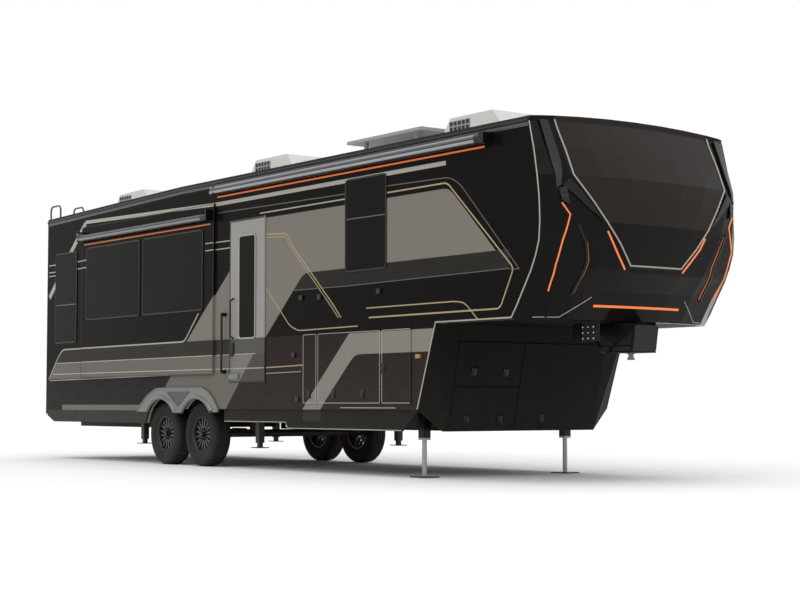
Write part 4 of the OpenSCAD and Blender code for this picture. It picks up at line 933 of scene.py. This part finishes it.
def tyre_piece():
    """One tyre round the origin, its axle along Y: a spun section with grooves and shoulder blocks"""
    half = [(0.212, -0.088)] + TREAD
    section = half + [(r, -y) for r, y in reversed(half)]
    deselect()
    bpy.ops.mesh.primitive_plane_add(size=0.001, location=(section[0][0], section[0][1], 0))
    tyre = bpy.context.object
    bpy.ops.object.transform_apply(location=True)
    bpy.ops.object.mode_set(mode="EDIT")
    bpy.ops.mesh.select_mode(type="VERT")
    bpy.ops.mesh.select_all(action="SELECT")
    bpy.ops.mesh.merge(type="CENTER")
    for start, end in zip(section, section[1:] + section[:1]):
        bpy.ops.mesh.extrude_region_move(TRANSFORM_OT_translate={"value": (end[0] - start[0], end[1] - start[1], 0)})
    bpy.ops.mesh.select_all(action="SELECT")
    bpy.ops.mesh.spin(steps=96, angle=math.tau, center=(0, 0, 0), axis=(0, 1, 0))
    bpy.ops.mesh.select_all(action="SELECT")
    bpy.ops.mesh.remove_doubles(threshold=0.0004)
    bpy.ops.mesh.normals_make_consistent(inside=False)

    def shoulder(at, _):
        turn = round(math.degrees(math.atan2(at.z, at.x)) / 3.75 - 0.5)
        return abs(at.y) > 0.046 and math.hypot(at.x, at.z) > 0.368 and turn % 3 == 0
    pick(tyre, shoulder)
    bpy.ops.mesh.extrude_region_shrink_fatten(TRANSFORM_OT_shrink_fatten={"value": -0.007})
    bpy.ops.object.mode_set(mode="OBJECT")
    return tyre


def wheel_marks():
    """Machined spoke edges, hub cap and nuts of the kerb side front wheel, round the origin"""
    bright = []
    for i in range(8):
        turn = math.tau * i / 8
        for side in (-1, 1):
            for wide in ((8, 24), (22, 46)):
                spots = []
                for out, across in ((0.074, wide[0]), (0.192, wide[1])):
                    across = side * across / 1000
                    spots.append((out * math.cos(turn) - across * math.sin(turn), -0.0625,
                                  out * math.sin(turn) + across * math.cos(turn)))
                bright.append(flatten(wire(spots, 0.0030, 0, 1), 1, -0.0625, 0.7))
    deselect()
    bpy.ops.mesh.primitive_cylinder_add(vertices=6, radius=0.011, depth=0.02, location=(0.062, -0.073, 0),
                                        rotation=(math.radians(90), 0, 0))
    nuts = bpy.context.object
    bpy.ops.object.transform_apply(location=True, rotation=True)
    bpy.ops.object.mode_set(mode="EDIT")
    bpy.ops.mesh.bevel(offset=0.002, segments=2, affect="EDGES")
    bpy.ops.mesh.select_all(action="SELECT")
    bpy.ops.mesh.spin(steps=8, angle=math.tau * 7 / 8, dupli=True, center=(0, 0, 0), axis=(0, 1, 0))
    bpy.ops.object.mode_set(mode="OBJECT")
    deselect()
    bpy.ops.mesh.primitive_cylinder_add(vertices=32, radius=0.032, depth=0.018, location=(0, -0.086, 0),
                                        rotation=(math.radians(90), 0, 0))
    cap = bpy.context.object
    bpy.ops.object.transform_apply(location=True, rotation=True)
    bpy.ops.object.mode_set(mode="EDIT")
    pick(cap, lambda _, normal: normal.y < -0.9)
    bpy.ops.mesh.bevel(offset=0.006, segments=3, affect="EDGES")
    bpy.ops.object.mode_set(mode="OBJECT")
    return joined(bright), joined([nuts, cap])


def wheels():
    tyre = tyre_piece()
    bright, dark = wheel_marks()
    for end, x in AXLES.items():
        for label, side in (("curb", -1), ("road", 1)):
            body = "wheel_%s_%s" % (label, end)
            place = (x, side * TYRE_Y, TYRE_R)
            piece = settle(copied(tyre, place), "tread_%s_%s" % (label, end), "tyre_rubber", body, smooth=30)
            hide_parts("tyre_%s_%s" % (label, end))
            for master, mark, finish in ((bright, "spoke_edges", "machined"), (dark, "hub_cap", "black_trim")):
                settle(copied(master, place, mirrored=side > 0), "%s_%s_%s" % (mark, label, end), finish, body)
    for master in (tyre, bright, dark):
        bpy.data.objects.remove(master)


# Roof, hitch and underside

def roof_units():
    covers = []
    for x, z in ((-4.58, 3.392), (-0.915, 3.46), (3.02, 3.46)):
        for side in (-1, 1):
            deselect()
            bpy.ops.mesh.primitive_grid_add(x_subdivisions=5, y_subdivisions=4, size=1.0,
                                            location=(x - 0.215, side * 0.352, z + 0.175),
                                            rotation=(math.radians(90), 0, 0), scale=(1, 1, 1))
            grille = bpy.context.object
            grille.scale = (0.34, 0.23, 1.0)
            bpy.ops.object.transform_apply(location=True, rotation=True, scale=True)
            bpy.ops.object.mode_set(mode="EDIT")
            bpy.ops.mesh.select_all(action="SELECT")
            bpy.ops.mesh.inset(thickness=0.009, use_individual=True)
            bpy.ops.mesh.delete(type="FACE")
            bpy.ops.object.mode_set(mode="OBJECT")
            shell = grille.modifiers.new("depth", "SOLIDIFY")
            shell.thickness = 0.012
            shell.offset = 0.0
            bpy.ops.object.modifier_apply(modifier="depth")
            covers.append(grille)
    settle(joined(covers), "unit_grilles", "unit_grey")
    backs = [soft_block((x - 0.387, side * 0.3445, z + 0.063), (x - 0.043, side * 0.3515, z + 0.287), 0.002)
             for x, z in ((-4.58, 3.392), (-0.915, 3.46), (3.02, 3.46)) for side in (-1, 1)]
    settle(joined(backs), "unit_grille_backs", "black_trim")


def struts():
    """Red shock struts between the frame and the foot of each axle"""
    made = []
    for x in AXLES.values():
        rod = wire([(x - 0.020, -0.930, 0.560), (x - 0.130, -0.930, 0.275)], 0.017)
        sleeve = wire([(x - 0.024, -0.930, 0.550), (x - 0.075, -0.930, 0.418)], 0.026)
        foot = wire([(x - 0.130, -0.930, 0.285), (x - 0.060, -0.930, 0.340)], 0.014)
        made += [rod, sleeve, foot]
    made += [copied(piece, mirrored=True) for piece in list(made)]
    settle(joined(made), "shock_struts", "rust_primer")


def pin_box_trim():
    """Skid plate, side gussets and gas strut mounts of the pin box"""
    plate = soft_block((4.815, -0.168, 1.236), (5.172, 0.168, 1.250), 0.004)
    made = []
    for side in (-1, 1):
        y = side * 0.154
        for ends in (((4.735, 1.285), (4.560, 1.520)), ((5.165, 1.262), (5.200, 1.480)), ((4.860, 1.262), (5.180, 1.490))):
            rib = wire([(x, y, z) for x, z in ends], 0.014)
            made.append(flatten(rib, 1, y, 0.8))
        made.append(flatten(wire([(4.740, y, 1.300), (5.150, y, 1.300)], 0.006), 1, y, 0.8))
        made.append(soft_block((4.60, side * 0.385 - 0.006, 1.350), (4.71, side * 0.385 + 0.006, 1.520), 0.003))
    settle(joined([plate] + made), "pin_box_trim", "box_black")


def hitch_bolts():
    deselect()
    bpy.ops.mesh.primitive_cylinder_add(vertices=6, radius=0.013, depth=0.016, rotation=(math.radians(90), 0, 0))
    bolt = bpy.context.object
    bpy.ops.object.transform_apply(rotation=True)
    bpy.ops.object.mode_set(mode="EDIT")
    bpy.ops.mesh.bevel(offset=0.002, segments=2, affect="EDGES")
    bpy.ops.object.mode_set(mode="OBJECT")
    row = [copied(bolt, (4.74 + 0.075 * i, -0.384, 1.375 + 0.055 * j)) for i in range(3) for j in range(3)]
    bpy.data.objects.remove(bolt)
    row += [copied(piece, mirrored=True) for piece in list(row)]
    settle(joined(row), "hitch_bolts", "bright_metal")


def dress_nodes():
    for finish, names in NODE_FINISHES.items():
        for name in names:
            skin = nodes[name].data.materials
            skin.clear()
            skin.append(FINISHES[finish])


camera()
studio()
studio_floor()
dress_nodes()
lay_stripes()
front_cap_trim()
wall_trim()
fender_inserts()
light_strips()
windows_and_doors()
latches()
wheels()
roof_units()
struts()
pin_box_trim()
hitch_bolts()
